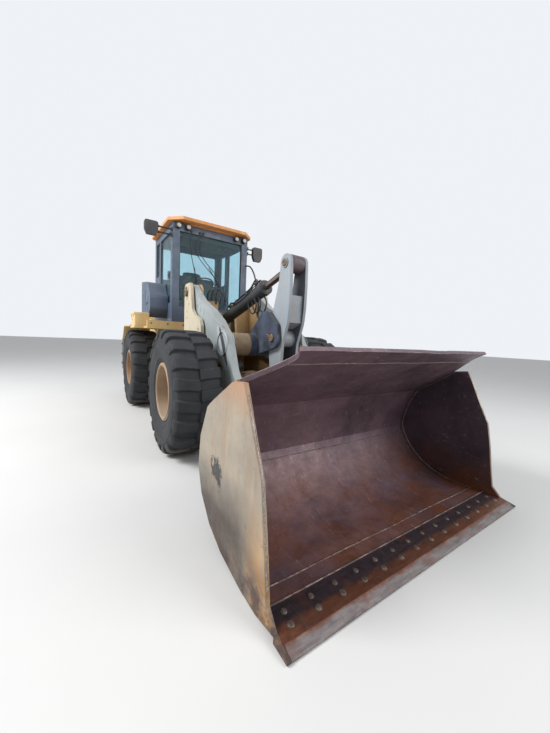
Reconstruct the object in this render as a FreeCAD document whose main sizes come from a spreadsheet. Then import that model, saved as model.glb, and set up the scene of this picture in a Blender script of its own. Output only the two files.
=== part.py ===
import FreeCAD, Part
import math
import os

# Wheel loader with a parallel-plate lift frame, in millimetres.
# +X points to the bucket, +Y to the machine's left, +Z up. The origin is on the
# ground, below the middle of the overall length. The machine is parked with the
# bucket flat on the ground.

V = FreeCAD.Vector
doc = FreeCAD.newDocument("wheel_loader")
sheet = doc.addObject("Spreadsheet::Sheet", "Sizes")

# Driving dimensions: name, value in millimetres (or degrees, or a count), meaning
SIZES = (
    ("front_axle_x", 930, "front axle ahead of the middle of the length"),
    ("wheel_base", 2850, "front axle to rear axle, the hitch half way"),
    ("wheel_track", 1960, "middle to middle of a pair of tyres"),
    ("tyre_diameter", 1490, "over the lugs"),
    ("tyre_width", 520, "section width"),
    ("tread_depth", 32, "height of the lugs"),
    ("rim_radius", 318, "bead seat"),
    ("rim_width", 440, "between the flanges' outer faces"),
    ("rim_wall", 16, "thickness of the rim's barrel"),
    ("flange_height", 30, "rim flange above the bead seat"),
    ("hub_radius", 185, "planetary hub"),
    ("hub_inner_y", 800, "hub's inner face from the middle plane"),
    ("hub_outer_y", 1030, "hub's outer face"),
    ("spindle_radius", 110, "axle end inside the hub"),
    ("axle_tube_radius", 120, "axle housing arm"),
    ("axle_bulb_radius", 225, "differential housing"),
    ("axle_pad_height", 150, "axle centre to the frame's seat"),
    ("axle_pad_length", 320, "pad along the machine"),
    ("running_gap", 0.5, "radial clearance on pins, rods and spindles"),
    ("seat_gap", 0.3, "clearance between seated pieces"),
    ("plate", 30, "frame plate"),
    ("tower_inner_y", 455, "inner face of the inner tower plates"),
    ("tower_outer_y", 615, "inner face of the outer tower plates"),
    ("tower_plate", 45, "outer tower plate"),
    ("tower_top_z", 2200, "top of the towers"),
    ("front_box_z", 520, "underside of the front frame"),
    ("front_deck_z", 1150, "underside of the front frame's top plate"),
    ("arm_pivot_back", 880, "arm pivot behind the front axle"),
    ("arm_pivot_z", 2050, "arm pivot above the ground"),
    ("arm_pin_radius", 45, "lift arm pins"),
    ("bucket_pin_ahead", 1420, "bucket hinge ahead of the front axle"),
    ("bucket_pin_z", 330, "bucket hinge above the ground"),
    ("arm_inner_y", 505, "inner face of each lift arm"),
    ("arm_thick", 90, "lift arm plate"),
    ("arm_boss", 140, "radius of the arm's end bosses"),
    ("cross_tube_radius", 140, "tube between the arms"),
    ("cross_tube_wall", 25, "wall of the tube between the arms"),
    ("crank_pivot_ahead", 770, "bellcrank pivot ahead of the front axle"),
    ("crank_pivot_z", 1440, "bellcrank pivot above the ground"),
    ("crank_top_ahead", 900, "bellcrank's upper pin ahead of the front axle"),
    ("crank_top_z", 2270, "bellcrank's upper pin above the ground"),
    ("crank_low_ahead", 780, "bellcrank's lower pin ahead of the front axle"),
    ("crank_low_z", 700, "bellcrank's lower pin above the ground"),
    ("crank_gap_y", 85, "half the gap between the bellcrank plates"),
    ("crank_plate", 35, "bellcrank plate"),
    ("crank_pin_radius", 45, "pins of the bellcrank"),
    ("lug_ahead", 1450, "bucket's link pin ahead of the front axle"),
    ("lug_z", 630, "bucket's link pin above the ground"),
    ("link_half_y", 60, "half the tilt link's width"),
    ("link_boss", 82, "radius of the tilt link's eyes"),
    ("lift_base_back", 890, "lift cylinder's base pin behind the front axle"),
    ("lift_base_z", 1350, "lift cylinder's base pin above the ground"),
    ("lift_eye_ahead", 300, "lift cylinder's rod pin ahead of the front axle"),
    ("lift_eye_z", 1080, "lift cylinder's rod pin above the ground"),
    ("lift_eye_half", 55, "half width of the lift cylinder's eyes"),
    ("lift_y", 370, "lift cylinders from the middle plane"),
    ("lift_barrel_radius", 72, "lift cylinder barrel"),
    ("lift_barrel_length", 1010, "from base pin to gland"),
    ("lift_rod_radius", 40, "lift cylinder rod"),
    ("lift_rod_start", 124, "lift rod's inner end from the base pin"),
    ("tilt_base_back", 900, "tilt cylinder's base pin behind the front axle"),
    ("tilt_base_z", 1730, "tilt cylinder's base pin above the ground"),
    ("tilt_barrel_radius", 88, "tilt cylinder barrel"),
    ("tilt_eye_half", 76, "half width of the tilt cylinder's eyes"),
    ("tilt_barrel_length", 1260, "from base pin to gland"),
    ("tilt_rod_radius", 42, "tilt cylinder rod"),
    ("tilt_rod_start", 400, "tilt rod's inner end from the base pin"),
    ("steer_base_back", 750, "steering cylinder's base pin behind the hitch"),
    ("steer_base_y", 450, "steering cylinder's base pin from the middle plane"),
    ("steer_eye_ahead", 100, "steering cylinder's rod pin ahead of the hitch"),
    ("steer_eye_y", 300, "steering cylinder's rod pin from the middle plane"),
    ("steer_z", 810, "steering cylinders above the ground"),
    ("steer_barrel_radius", 45, "steering cylinder barrel"),
    ("steer_barrel_length", 560, "from base pin to gland"),
    ("steer_rod_radius", 25, "steering cylinder rod"),
    ("steer_rod_start", 265, "steering rod's inner end from the base pin"),
    ("pin_radius", 32, "pins of the lift and tilt cylinders"),
    ("steer_pin_radius", 20, "pins of the steering cylinders"),
    ("hitch_pin_radius", 45, "articulation pins"),
    ("hitch_nose", 120, "radius of the hitch plates' noses"),
    ("hitch_upper_z", 1030, "middle of the upper hitch"),
    ("hitch_lower_z", 600, "middle of the lower hitch"),
    ("hitch_lug", 60, "thickness of the rear frame's hitch plates"),
    ("hitch_gap", 8, "gap between hitch plates"),
    ("hitch_fork", 40, "thickness of the front frame's hitch plates"),
    ("hitch_front", 300, "front frame's rear wall ahead of the hitch"),
    ("hitch_rear", 350, "rear frame's front wall behind the hitch"),
    ("rail_y", 235, "inner face of the rear frame's rails"),
    ("rail_plate", 36, "rear frame rail"),
    ("rail_top_z", 1200, "top of the rails"),
    ("rail_low_z", 540, "underside of the rails"),
    ("rear_end_back", 4600, "rear end behind the front axle"),
    ("bucket_tip_ahead", 2740, "bucket's edge ahead of the front axle"),
    ("bucket_width", 2560, "over the side cutters"),
    ("bucket_floor_gap", 4, "bucket's underside above the ground"),
    ("bucket_shell", 28, "bucket's wrapper plate"),
    ("bucket_side", 26, "bucket's side plate"),
    ("bucket_rear_ahead", 1545, "bucket's rearmost line ahead of the front axle"),
    ("bucket_top_z", 1171, "height where the wrapper meets the side plates' tops"),
    ("guard_top_z", 1400, "top of the spill guard"),
    ("guard_half_y", 1105, "half width of the spill guard's top"),
    ("edge_thick", 32, "cutting edge"),
    ("edge_depth", 260, "cutting edge from front to back"),
    ("ear_plate", 45, "bucket's hinge ears"),
    ("ear_gap", 8, "gap between a hinge ear and its arm"),
    ("pedestal_half_y", 640, "half width of the cab's cross plates"),
    ("deck_z", 1520, "underside of the platform"),
    ("deck_plate", 30, "platform plate"),
    ("deck_beam", 130, "platform's front beam"),
    ("deck_half_y", 1100, "half width of the platform"),
    ("deck_front_back", 1545, "platform's front edge behind the front axle"),
    ("cab_front_back", 1610, "cab's front face behind the front axle"),
    ("cab_length", 1340, "cab without its roof"),
    ("cab_half_y", 700, "half width of the cab"),
    ("cab_top_z", 3300, "top of the cab's pillars"),
    ("cab_wall", 50, "cab walls and pillars"),
    ("cab_pillar", 120, "corner pillars"),
    ("glass", 6, "window glass"),
    ("roof_height", 100, "roof cap"),
    ("roof_lip", 50, "edge of the roof"),
    ("roof_overhang", 75, "roof beyond the cab's sides"),
    ("roof_visor", 170, "roof ahead of the cab"),
    ("roof_corner", 200, "roof's cut corners"),
    ("door_length", 750, "cab door"),
    ("door_gap", 6, "gap round the doors"),
    ("hinge_radius", 14, "door hinge knuckles"),
    ("hinge_pin_radius", 8, "door hinge pins"),
    ("hinge_out", 16, "door hinge axis outside its panel's face"),
    ("hood_front_back", 2990, "hood's front edge behind the front axle"),
    ("hood_rear_back", 4450, "hood's rear edge behind the front axle"),
    ("hood_half_y", 640, "half width of the hood"),
    ("hood_low_z", 1300.3, "bottom of the hood, on the counterweight"),
    ("hood_top_z", 2350, "top of the hood at its front"),
    ("hood_drop", 110, "fall of the hood's top to the rear"),
    ("hood_wall", 35, "hood panel"),
    ("weight_front_back", 4060, "counterweight's front face behind the front axle"),
    ("weight_half_y", 1160, "half width of the counterweight"),
    ("weight_low_z", 560, "underside of the counterweight"),
    ("weight_top_z", 1300, "top of the counterweight"),
    ("fender_half_y", 1245, "outer edge of the rear fenders"),
    ("fender_inner_y", 745, "inner edge of the rear fenders"),
    ("fender_gap", 85.3, "rear fender above the tyre"),
    ("fender_plate", 25, "rear fender"),
    ("case_depth", 300, "case on the cab's right side, out from the cab"),
)

for row, (alias, value, meaning) in enumerate(SIZES, start=1):
    sheet.set("A%d" % row, str(value))
    sheet.set("B%d" % row, meaning)
    sheet.setAlias("A%d" % row, alias)
doc.recompute()


class Dim:
    """A length that carries its number and the sheet expression that gives it."""

    def __init__(self, value, text):
        self.value = float(value)
        self.text = text

    def _join(self, other, sign, value):
        text = other.text if isinstance(other, Dim) else "(%r)" % float(other)
        return Dim(value, "(%s %s %s)" % (self.text, sign, text))

    def __add__(self, other):
        return self._join(other, "+", self.value + num(other))

    def __sub__(self, other):
        return self._join(other, "-", self.value - num(other))

    def __mul__(self, other):
        return self._join(other, "*", self.value * num(other))

    def __truediv__(self, other):
        return self._join(other, "/", self.value / num(other))

    def __rmul__(self, other):
        return self * other

    def __radd__(self, other):
        return self + other

    def __rsub__(self, other):
        return -self + other

    def __neg__(self):
        return Dim(-self.value, "(0 - %s)" % self.text)


def num(value):
    return value.value if isinstance(value, Dim) else float(value)


class Sheet:
    """Every driving dimension as a Dim."""

    def __getattr__(self, alias):
        return Dim(sheet.get(alias), "Sizes." + alias)


s = Sheet()


def bind(obj, prop, value):
    """Set a property and tie it to the sheet."""
    if isinstance(value, Dim):
        obj.setExpression(prop, value.text)
    else:
        setattr(obj, prop, value)


def place(obj, x, y, z, axis=V(0, 0, 1), angle=0.0):
    """Put an object at a point whose coordinates are tied to the sheet."""
    obj.Placement = FreeCAD.Placement(V(num(x), num(y), num(z)), FreeCAD.Rotation(axis, angle))
    for letter, value in (("x", x), ("y", y), ("z", z)):
        if isinstance(value, Dim):
            obj.setExpression("Placement.Base." + letter, value.text)
    return obj


def add(kind, name):
    return doc.addObject(kind, name)


# Basic solids

def box(name, x0, x1, y0, y1, z0, z1):
    """A block between two corners, each coordinate a Dim or a number."""
    solid = add("Part::Box", name)
    for prop, low, high in (("Length", x0, x1), ("Width", y0, y1), ("Height", z0, z1)):
        bind(solid, prop, high - low)
    return place(solid, x0, y0, z0)


def cylinder_y(name, centre, radius, y0, y1):
    """A cylinder along Y about an (x, z) centre."""
    solid = add("Part::Cylinder", name)
    bind(solid, "Radius", radius)
    bind(solid, "Height", y1 - y0)
    return place(solid, centre[0], y0, centre[1], V(1, 0, 0), -90)


def cylinder_z(name, x, y, radius, z0, z1):
    """A cylinder along Z."""
    solid = add("Part::Cylinder", name)
    bind(solid, "Radius", radius)
    bind(solid, "Height", z1 - z0)
    return place(solid, x, y, z0)


def sketch(name, outline, circles=()):
    """A closed sketch in the XZ plane, its corners and circles tied to the sheet."""
    flat = add("Sketcher::SketchObject", name)
    flat.Placement = FreeCAD.Placement(V(0, 0, 0), FreeCAD.Rotation(V(1, 0, 0), 90))
    return fill_sketch(flat, outline, circles)


def plan_sketch(name, outline, circles=()):
    """A closed sketch in the XY plane, its corners and circles tied to the sheet."""
    return fill_sketch(add("Sketcher::SketchObject", name), outline, circles)


def fill_sketch(flat, outline, circles):
    corners = [V(num(x), num(z), 0) for x, z in outline]
    count = len(corners)
    for i in range(count):
        flat.addGeometry(Part.LineSegment(corners[i], corners[(i + 1) % count]), False)
    for i in range(count):
        flat.addConstraint(Constraint("Coincident", i, 2, (i + 1) % count, 1))
    for i, point in enumerate(outline):
        for kind, value in (("DistanceX", point[0]), ("DistanceY", point[1])):
            tie(flat, Constraint(kind, i, 1, num(value)), value)
    for x, z, radius in circles:
        index = flat.addGeometry(Part.Circle(V(num(x), num(z), 0), V(0, 0, 1), num(radius)), False)
        tie(flat, Constraint("DistanceX", index, 3, num(x)), x)
        tie(flat, Constraint("DistanceY", index, 3, num(z)), z)
        tie(flat, Constraint("Radius", index, num(radius)), radius)
    return flat


def tie(flat, constraint, value):
    index = flat.addConstraint(constraint)
    if isinstance(value, Dim):
        flat.setExpression("Constraints[%d]" % index, value.text)


def Constraint(*values):
    import Sketcher
    return Sketcher.Constraint(*values)


def extrude(name, flat, direction, start, end):
    """Extrude a sketch along Y or Z from start to end."""
    solid = add("Part::Extrusion", name)
    solid.Base = flat
    solid.DirMode = "Custom"
    solid.Dir = direction
    solid.Solid = True
    bind(solid, "LengthFwd", end - start)
    if direction.y:
        return place(solid, 0, start, 0)
    return place(solid, 0, 0, start)


def plate_y(name, outline, y0, y1, circles=(), rounds=()):
    """A plate cut from an XZ outline between two Y planes, with rounded corners."""
    solid = extrude(name, sketch(name + "_outline", outline, circles), V(0, 1, 0), y0, y1)
    return rounded(solid, rounds, "y")


def plate_z(name, outline, z0, z1, circles=(), rounds=()):
    """A plate cut from an XY outline between two Z planes, with rounded corners."""
    solid = extrude(name, plan_sketch(name + "_outline", outline, circles), V(0, 0, 1), z0, z1)
    return rounded(solid, rounds, "z")


def plate_x(name, outline, x0, x1, rounds=()):
    """A plate cut from a YZ outline between two X planes, with rounded corners."""
    flat = add("Sketcher::SketchObject", name + "_outline")
    flat.Placement = FreeCAD.Placement(V(0, 0, 0), FreeCAD.Rotation(V(1, 1, 1), 120))
    fill_sketch(flat, outline, ())
    solid = add("Part::Extrusion", name)
    solid.Base = flat
    solid.DirMode = "Custom"
    solid.Dir = V(1, 0, 0)
    solid.Solid = True
    bind(solid, "LengthFwd", x1 - x0)
    return rounded(place(solid, x0, 0, 0), rounds, "x")


def rounded(solid, rounds, along):
    """Round the edges along an axis that pass through the given (a, b, radius) corners."""
    if not rounds:
        return solid
    doc.recompute()
    chosen = []
    for index, edge in enumerate(solid.Shape.Edges, start=1):
        if len(edge.Vertexes) < 2:
            continue
        a, b = edge.Vertexes[0].Point, edge.Vertexes[-1].Point
        step = b - a
        step = {"x": (step.y, step.z), "y": (step.x, step.z), "z": (step.x, step.y)}[along]
        if math.hypot(*step) > 0.01:
            continue
        spot = {"x": (a.y, a.z), "y": (a.x, a.z), "z": (a.x, a.y)}[along]
        for u, w, radius in rounds:
            if math.hypot(spot[0] - num(u), spot[1] - num(w)) < 0.5:
                chosen.append((index, num(radius), num(radius)))
    fillet = add("Part::Fillet", solid.Name + "_rounded")
    fillet.Base = solid
    fillet.Edges = chosen
    return fillet


def fuse(name, pieces):
    if len(pieces) == 1:
        return pieces[0]
    joined = add("Part::MultiFuse", name)
    joined.Shapes = pieces
    joined.Refine = True
    return joined


def group(name, pieces):
    """Like pieces that don't touch, kept as separate solids in one sub-part."""
    together = add("Part::Compound", name)
    together.Links = pieces
    return together


def cut(name, base, tools):
    result = add("Part::Cut", name)
    result.Base = base
    result.Tool = tools[0] if len(tools) == 1 else fuse(name + "_tools", tools)
    return result


def turned(name, outline, axis_point):
    """A body of revolution from a closed outline of (radius, along) pairs about the Y axis."""
    flat = add("Sketcher::SketchObject", name + "_outline")
    fill_sketch(flat, outline, ())
    solid = add("Part::Revolution", name)
    solid.Source = flat
    solid.Axis = V(0, 1, 0)
    solid.Base = V(0, 0, 0)
    solid.Angle = 360
    solid.Solid = True
    return place(solid, axis_point[0], 0, axis_point[1])


NODES = []


def node(label, obj):
    """Name a finished sub-part; its label is also its file's name."""
    obj.Label = label
    NODES.append(obj)
    return obj


# Places that everything else hangs on

front_x = s.front_axle_x
rear_x = s.front_axle_x - s.wheel_base
hitch_x = s.front_axle_x - s.wheel_base / 2
axle_z = s.tyre_diameter / 2
ARM = (front_x - s.arm_pivot_back, s.arm_pivot_z)
BUCKET = (front_x + s.bucket_pin_ahead, s.bucket_pin_z)
CRANK = (front_x + s.crank_pivot_ahead, s.crank_pivot_z)
TOP = (front_x + s.crank_top_ahead, s.crank_top_z)
LOW = (front_x + s.crank_low_ahead, s.crank_low_z)
LUG = (front_x + s.lug_ahead, s.lug_z)
LIFT_BASE = (front_x - s.lift_base_back, s.lift_base_z)
LIFT_EYE = (front_x + s.lift_eye_ahead, s.lift_eye_z)
TILT_BASE = (front_x - s.tilt_base_back, s.tilt_base_z)
arm_outer_y = s.arm_inner_y + s.arm_thick
crank_outer_y = s.crank_gap_y + s.crank_plate


def at_front(offset):
    """X of a point given ahead of (+) or behind (-) the front axle."""
    return front_x + offset


def sides(make):
    """The same piece on the left (+1) and on the right (-1)."""
    return [make(side) for side in (1, -1)]


def between(side, low, high):
    """Y limits of a piece between two distances from the middle plane."""
    return (low, high) if side > 0 else (-high, -low)


def label_side(side):
    return "left" if side > 0 else "right"


def door_hinges(name, x, y, levels, carrier_leaf, door_leaf):
    """Upright hinges: pins with their lugs for the carrier, knuckles for the door.

    A leaf is (x0, x1, y0, y1) measured from the hinge axis."""
    carrier, door = [], []
    for index, z in enumerate(levels):
        label = "%s_%d" % (name, index)
        lug_low, lug_high, top = z - 50, z - 15, z + 45
        carrier += [
            cylinder_z(label + "_lug", x, y, s.hinge_radius, lug_low, lug_high),
            cylinder_z(label + "_pin", x, y, s.hinge_pin_radius, lug_low, top),
            box(label + "_lug_leaf", x + carrier_leaf[0], x + carrier_leaf[1], y + carrier_leaf[2],
                y + carrier_leaf[3], lug_low, lug_high),
        ]
        ring = cylinder_z(label + "_ring", x, y, s.hinge_radius, lug_high + s.running_gap, top)
        leaf = box(label + "_leaf", x + door_leaf[0], x + door_leaf[1], y + door_leaf[2], y + door_leaf[3],
                   lug_high + s.running_gap, top)
        bore = cylinder_z(label + "_bore", x, y, s.hinge_pin_radius + s.running_gap, lug_low, top + 1)
        door.append(cut(label + "_knuckle", fuse(label + "_knuckle_solid", [ring, leaf]), [bore]))
    return carrier, door


# Wheels: tyre and rim, the same at all four corners

LUG_COUNT = 20
FACETS = LUG_COUNT * 2
# Corners of one lug's outline: degrees from its middle, and 1 at the top or 0 at the foot
LUG_CORNERS = ((-5.4, 0), (-4, 1), (4, 1), (5.4, 0))


def facet_prism(name, radius, half):
    """A flat-sided prism about the wheel's axis, its corners at the radius."""
    prism = add("Part::Prism", name)
    prism.Polygon = FACETS
    bind(prism, "Circumradius", radius)
    bind(prism, "Height", half * 2)
    return place(prism, 0, -half, 0, V(1, 0, 0), -90)


def bevelled(name, solid, radius, first, second):
    """Bevel the end edges whose corners lie at a radius from the wheel's axis."""
    doc.recompute()
    chosen = []
    for index, edge in enumerate(solid.Shape.Edges, start=1):
        ends = [vertex.Point for vertex in edge.Vertexes]
        if abs(ends[0].y - ends[-1].y) > 0.01:
            continue
        if all(abs(math.hypot(end.x, end.z) - num(radius)) < 1 for end in ends):
            chosen.append((index, num(first), num(second)))
    bevel = add("Part::Chamfer", name)
    bevel.Base = solid
    bevel.Edges = chosen
    return bevel


def tread_band(side, y0, y1):
    """Half of the tread: bars across it, out of step with the other half's."""
    outline = []
    for index in range(LUG_COUNT):
        middle = 360.0 / LUG_COUNT * (index + side * 0.25)
        for offset, top in LUG_CORNERS:
            radius = s.tyre_diameter / 2 - s.tread_depth * (1 - top)
            angle = math.radians(middle + offset)
            outline.append((radius * math.cos(angle), radius * math.sin(angle)))
    return plate_y("tread_" + label_side(side), outline, y0, y1)


def lugged_tyre():
    half = s.tyre_width / 2
    shoulder = half * 0.88
    to_corner = 1 / math.cos(math.radians(180.0 / FACETS))
    bore = (s.rim_radius + s.seat_gap) * to_corner
    flange = s.rim_radius + s.flange_height + s.seat_gap
    flange_y = s.rim_width / 2 - s.rim_wall - s.seat_gap
    crown = s.tyre_diameter / 2 - s.tread_depth - 12
    belly = crown - 138
    wall_slope = num(half - flange_y) / num(belly - flange)
    bead_y = flange_y - (flange - s.rim_radius) * wall_slope
    casing = facet_prism("casing", crown, half)
    casing = bevelled("casing_shoulders", casing, crown, half - shoulder, crown - belly)
    casing = cut("casing_open", casing, [facet_prism("tyre_bore", bore, half + 10)])
    casing = bevelled("casing_walls", casing, bore, belly - bore - 4, half - bead_y)
    bands = [tread_band(side, *between(side, 0, shoulder)) for side in (1, -1)]
    bands = cut("tread_open", fuse("tread_bands", bands), [facet_prism("tread_bore", crown - 60, half)])
    return fuse("tyre_whole", [casing, bands])


TYRE = lugged_tyre()


def wheel(name, x, side):
    middle = s.wheel_track / 2 * side
    node("tyre_" + name, place(group(name + "_tyre", [TYRE]), x, middle, axle_z))

    outer = s.rim_width / 2
    barrel = s.rim_radius - s.rim_wall
    out = lambda offset: middle + offset * side
    rim = turned(name + "_rim_ring", (
        (barrel, out(-outer)), (s.rim_radius + s.flange_height, out(-outer)),
        (s.rim_radius + s.flange_height, out(s.rim_wall - outer)),
        (s.rim_radius, out(s.rim_wall - outer)), (s.rim_radius, out(outer - s.rim_wall)),
        (s.rim_radius + s.flange_height, out(outer - s.rim_wall)),
        (s.rim_radius + s.flange_height, out(outer)), (barrel, out(outer)),
    ), (x, axle_z))
    disc_y = (s.hub_inner_y + 60, s.hub_inner_y + 60 + s.rim_wall * 1.5)
    y0, y1 = between(side, *disc_y)
    disc = cylinder_y(name + "_disc", (x, axle_z), barrel + s.rim_wall / 2, y0, y1)
    y0, y1 = between(side, s.hub_inner_y, s.hub_outer_y - 60)
    hub = cylinder_y(name + "_hub", (x, axle_z), s.hub_radius, y0, y1)
    y0, y1 = between(side, s.hub_outer_y - 60, s.hub_outer_y)
    cover = cylinder_y(name + "_cover", (x, axle_z), s.hub_radius * 0.72, y0, y1)
    y0, y1 = between(side, s.hub_inner_y - 1, s.hub_outer_y - 90)
    bore = cylinder_y(name + "_bore", (x, axle_z), s.spindle_radius + s.running_gap, y0, y1)
    node("rim_" + name, cut(name + "_rim", fuse(name + "_rim_solid", [rim, disc, hub, cover]), [bore]))


def axle(name, x, pads):
    """Rigid drive axle: differential bulb, two tapered arms, pads and spindles."""
    arm = cylinder_y(name + "_arm", (x, axle_z), s.axle_tube_radius,
                     -(s.hub_inner_y - 40), s.hub_inner_y - 40)
    spindle = cylinder_y(name + "_spindle", (x, axle_z), s.spindle_radius,
                         -(s.hub_outer_y - 95), s.hub_outer_y - 95)
    bulge = s.axle_bulb_radius
    bulb = turned(name + "_bulb", (
        (60, -bulge), (bulge * 0.62, -bulge), (bulge * 0.88, bulge * -0.62), (bulge, bulge * -0.22),
        (bulge, bulge * 0.22), (bulge * 0.88, bulge * 0.62), (bulge * 0.62, bulge), (60, bulge),
    ), (x, axle_z))
    pieces = [arm, spindle, bulb]
    for side in (1, -1):
        y0, y1 = between(side, s.hub_inner_y - 110, s.hub_inner_y - s.hitch_gap)
        pieces.append(cylinder_y(name + "_flange", (x, axle_z), s.hub_radius, y0, y1))
        y0, y1 = between(side, pads[0], pads[1])
        pieces.append(box(name + "_pad", x - s.axle_pad_length / 2, x + s.axle_pad_length / 2, y0, y1,
                          axle_z - 90, axle_z + s.axle_pad_height - s.seat_gap))
    return node(name, fuse(name + "_solid", pieces))


for corner, x in (("front", front_x), ("rear", rear_x)):
    for side in (1, -1):
        wheel(corner + "_" + label_side(side), x, side)

axle("front_axle", front_x, (s.tower_inner_y - 40, s.tower_inner_y + 90))
axle("rear_axle", rear_x, (s.rail_y - 40, s.rail_y + 80))


# Front frame: box over the axle, two pairs of tower plates, hitch forks

fork_back = hitch_x + s.hitch_front
axle_seat = axle_z + s.axle_pad_height
box_front = at_front(430)

def tower_x(offset):
    """X of a point given ahead of (+) or behind (-) the arm pivot."""
    return ARM[0] + offset


def tower_rise(share):
    """Height between the front frame's top plate (0) and the top of the towers (1)."""
    return s.front_deck_z + (s.tower_top_z - s.front_deck_z) * share


inner_outline = (
    (fork_back, s.front_box_z), (at_front(-330), s.front_box_z),
    (at_front(-250), axle_seat), (at_front(250), axle_seat),
    (at_front(290), axle_seat - 180), (box_front, axle_seat - 180),
    (box_front, axle_seat + 20), (at_front(120), axle_seat + 60), (at_front(-120), s.front_deck_z),
    (at_front(-340), s.front_deck_z + 110), (tower_x(320), tower_rise(0.43)), (tower_x(140), tower_rise(0.6)),
    (tower_x(140), s.tower_top_z - 80), (tower_x(70), s.tower_top_z),
    (tower_x(-80), s.tower_top_z), (tower_x(-130), s.tower_top_z - 50),
    (tower_x(-130), s.front_deck_z + s.plate), (fork_back, s.front_deck_z + s.plate),
)
outer_outline = (
    (tower_x(-130), s.front_deck_z), (tower_x(600), s.front_deck_z),
    (tower_x(650), tower_rise(0.26)), (tower_x(630), tower_rise(0.4)), (tower_x(560), tower_rise(0.485)),
    (tower_x(350), tower_rise(0.545)), (tower_x(240), tower_rise(0.62)),
    (tower_x(160), s.tower_top_z - 80), (tower_x(110), s.tower_top_z),
    (tower_x(-80), s.tower_top_z), (tower_x(-130), s.tower_top_z - 50),
)


def tower(side):
    name = label_side(side)
    arm_hole = (ARM[0], ARM[1], s.arm_pin_radius + s.seat_gap)
    base_hole = (LIFT_BASE[0], LIFT_BASE[1], s.pin_radius + s.seat_gap)
    y0, y1 = between(side, s.tower_inner_y, s.tower_inner_y + s.plate)
    inner = plate_y("inner_tower_" + name, inner_outline, y0, y1, (arm_hole, base_hole),
                    (inner_outline[10] + (120,), inner_outline[11] + (120,)))
    y0, y1 = between(side, s.tower_outer_y, s.tower_outer_y + s.tower_plate)
    outer = plate_y("outer_tower_" + name, outer_outline, y0, y1, (arm_hole,),
                    [outer_outline[i] + (radius,) for i, radius in ((3, 60), (4, 80), (5, 140), (6, 120))])
    y0, y1 = between(side, s.tower_inner_y + s.plate, s.tower_outer_y + s.tower_plate)
    ledge = box("ledge_" + name, tower_x(-130), tower_x(600), y0, y1, s.front_deck_z, s.front_deck_z + s.plate)
    y0, y1 = between(side, s.tower_inner_y + s.plate, s.tower_outer_y)
    web = box("web_" + name, tower_x(-130), tower_x(-130) + s.plate, y0, y1, s.front_deck_z, ARM[1] - 330)
    return [inner, outer, ledge, web]


def bracket_pair(name, centre, radius, inner_y, outer_y, side, hole):
    """A cylinder's base bracket: an upright plate with a round top on the front frame."""
    y0, y1 = between(side, inner_y, outer_y)
    head = cylinder_y(name + "_head", centre, radius, y0, y1)
    leg = plate_y(name + "_leg", (
        (centre[0] - radius, s.front_deck_z), (centre[0] + radius * 2.4, s.front_deck_z),
        (centre[0] + radius, centre[1]), (centre[0] - radius, centre[1]),
    ), y0, y1)
    y0, y1 = between(side, inner_y - 5, outer_y + 5)
    eye = cylinder_y(name + "_eye", centre, hole, y0, y1)
    return cut(name, fuse(name + "_solid", [leg, head]), [eye])


def fork_plates(name, back, reach, thick_low, thick_high):
    """A hitch plate with a round nose at the articulation pin."""
    nose = cylinder_z(name + "_nose", hitch_x, 0, s.hitch_nose, thick_low, thick_high)
    wing = plate_z(name + "_wing", (
        (hitch_x, -s.hitch_nose), (back, -reach), (back, reach), (hitch_x, s.hitch_nose),
    ), thick_low, thick_high)
    return [nose, wing]


def hitch_levels():
    return (("upper", s.hitch_upper_z), ("lower", s.hitch_lower_z))


front_pieces = []
for side in (1, -1):
    front_pieces += tower(side)
    front_pieces.append(bracket_pair("lift_bracket_" + label_side(side), LIFT_BASE, 85,
                                     s.lift_y - 125, s.lift_y - 90, side, s.pin_radius + s.seat_gap))
    front_pieces.append(bracket_pair("tilt_bracket_" + label_side(side), TILT_BASE, 85,
                                     s.tilt_barrel_radius + 10, s.tilt_barrel_radius + 45, side,
                                     s.pin_radius + s.seat_gap))
inner_y = s.tower_inner_y
deck_top = s.front_deck_z + s.plate
front_pieces += [
    box("front_top_plate", fork_back, at_front(-560), -inner_y, inner_y, s.front_deck_z, deck_top),
    box("front_belly_plate", fork_back, at_front(-330), -inner_y, inner_y, s.front_box_z,
        s.front_box_z + s.plate),
    box("front_rear_wall", fork_back, fork_back + s.plate, -inner_y, inner_y, s.front_box_z, deck_top),
    box("front_nose_wall", box_front - s.plate, box_front, -inner_y, inner_y, axle_seat - 180, axle_seat + 20),
]
tower_wall = box("tower_wall", tower_x(-130), tower_x(-130) + s.plate, -inner_y, inner_y,
                 s.front_deck_z, tower_rise(0.8))
swing_y = s.tilt_barrel_radius + 32
tower_notch = box("tower_notch", tower_x(-150), tower_x(-80), -swing_y, swing_y,
                  TILT_BASE[1] - 120, tower_rise(0.9))
front_pieces.append(cut("tower_wall_open", tower_wall, [tower_notch]))
for level, middle_z in hitch_levels():
    low = middle_z - s.hitch_lug / 2 - s.hitch_gap - s.hitch_fork
    high = middle_z + s.hitch_lug / 2 + s.hitch_gap
    for which, z0 in (("under", low), ("over", high)):
        front_pieces += fork_plates("fork_%s_%s" % (level, which), fork_back, s.tower_inner_y - 130,
                                    z0, z0 + s.hitch_fork)
for side in (1, -1):
    eye_x = hitch_x + s.steer_eye_ahead
    y0, y1 = between(side, s.steer_eye_y - 45, s.steer_eye_y + 45)
    for which, z0 in (("under", s.steer_z - 75), ("over", s.steer_z + 45)):
        front_pieces.append(box("steer_lug_%s_%s" % (label_side(side), which), eye_x - 45, fork_back, y0, y1,
                                z0, z0 + s.plate))
pin_holes = [cylinder_z("hitch_hole_" + level, hitch_x, 0, s.hitch_pin_radius + s.seat_gap,
                        middle_z - 110, middle_z + 110) for level, middle_z in hitch_levels()]
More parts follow.
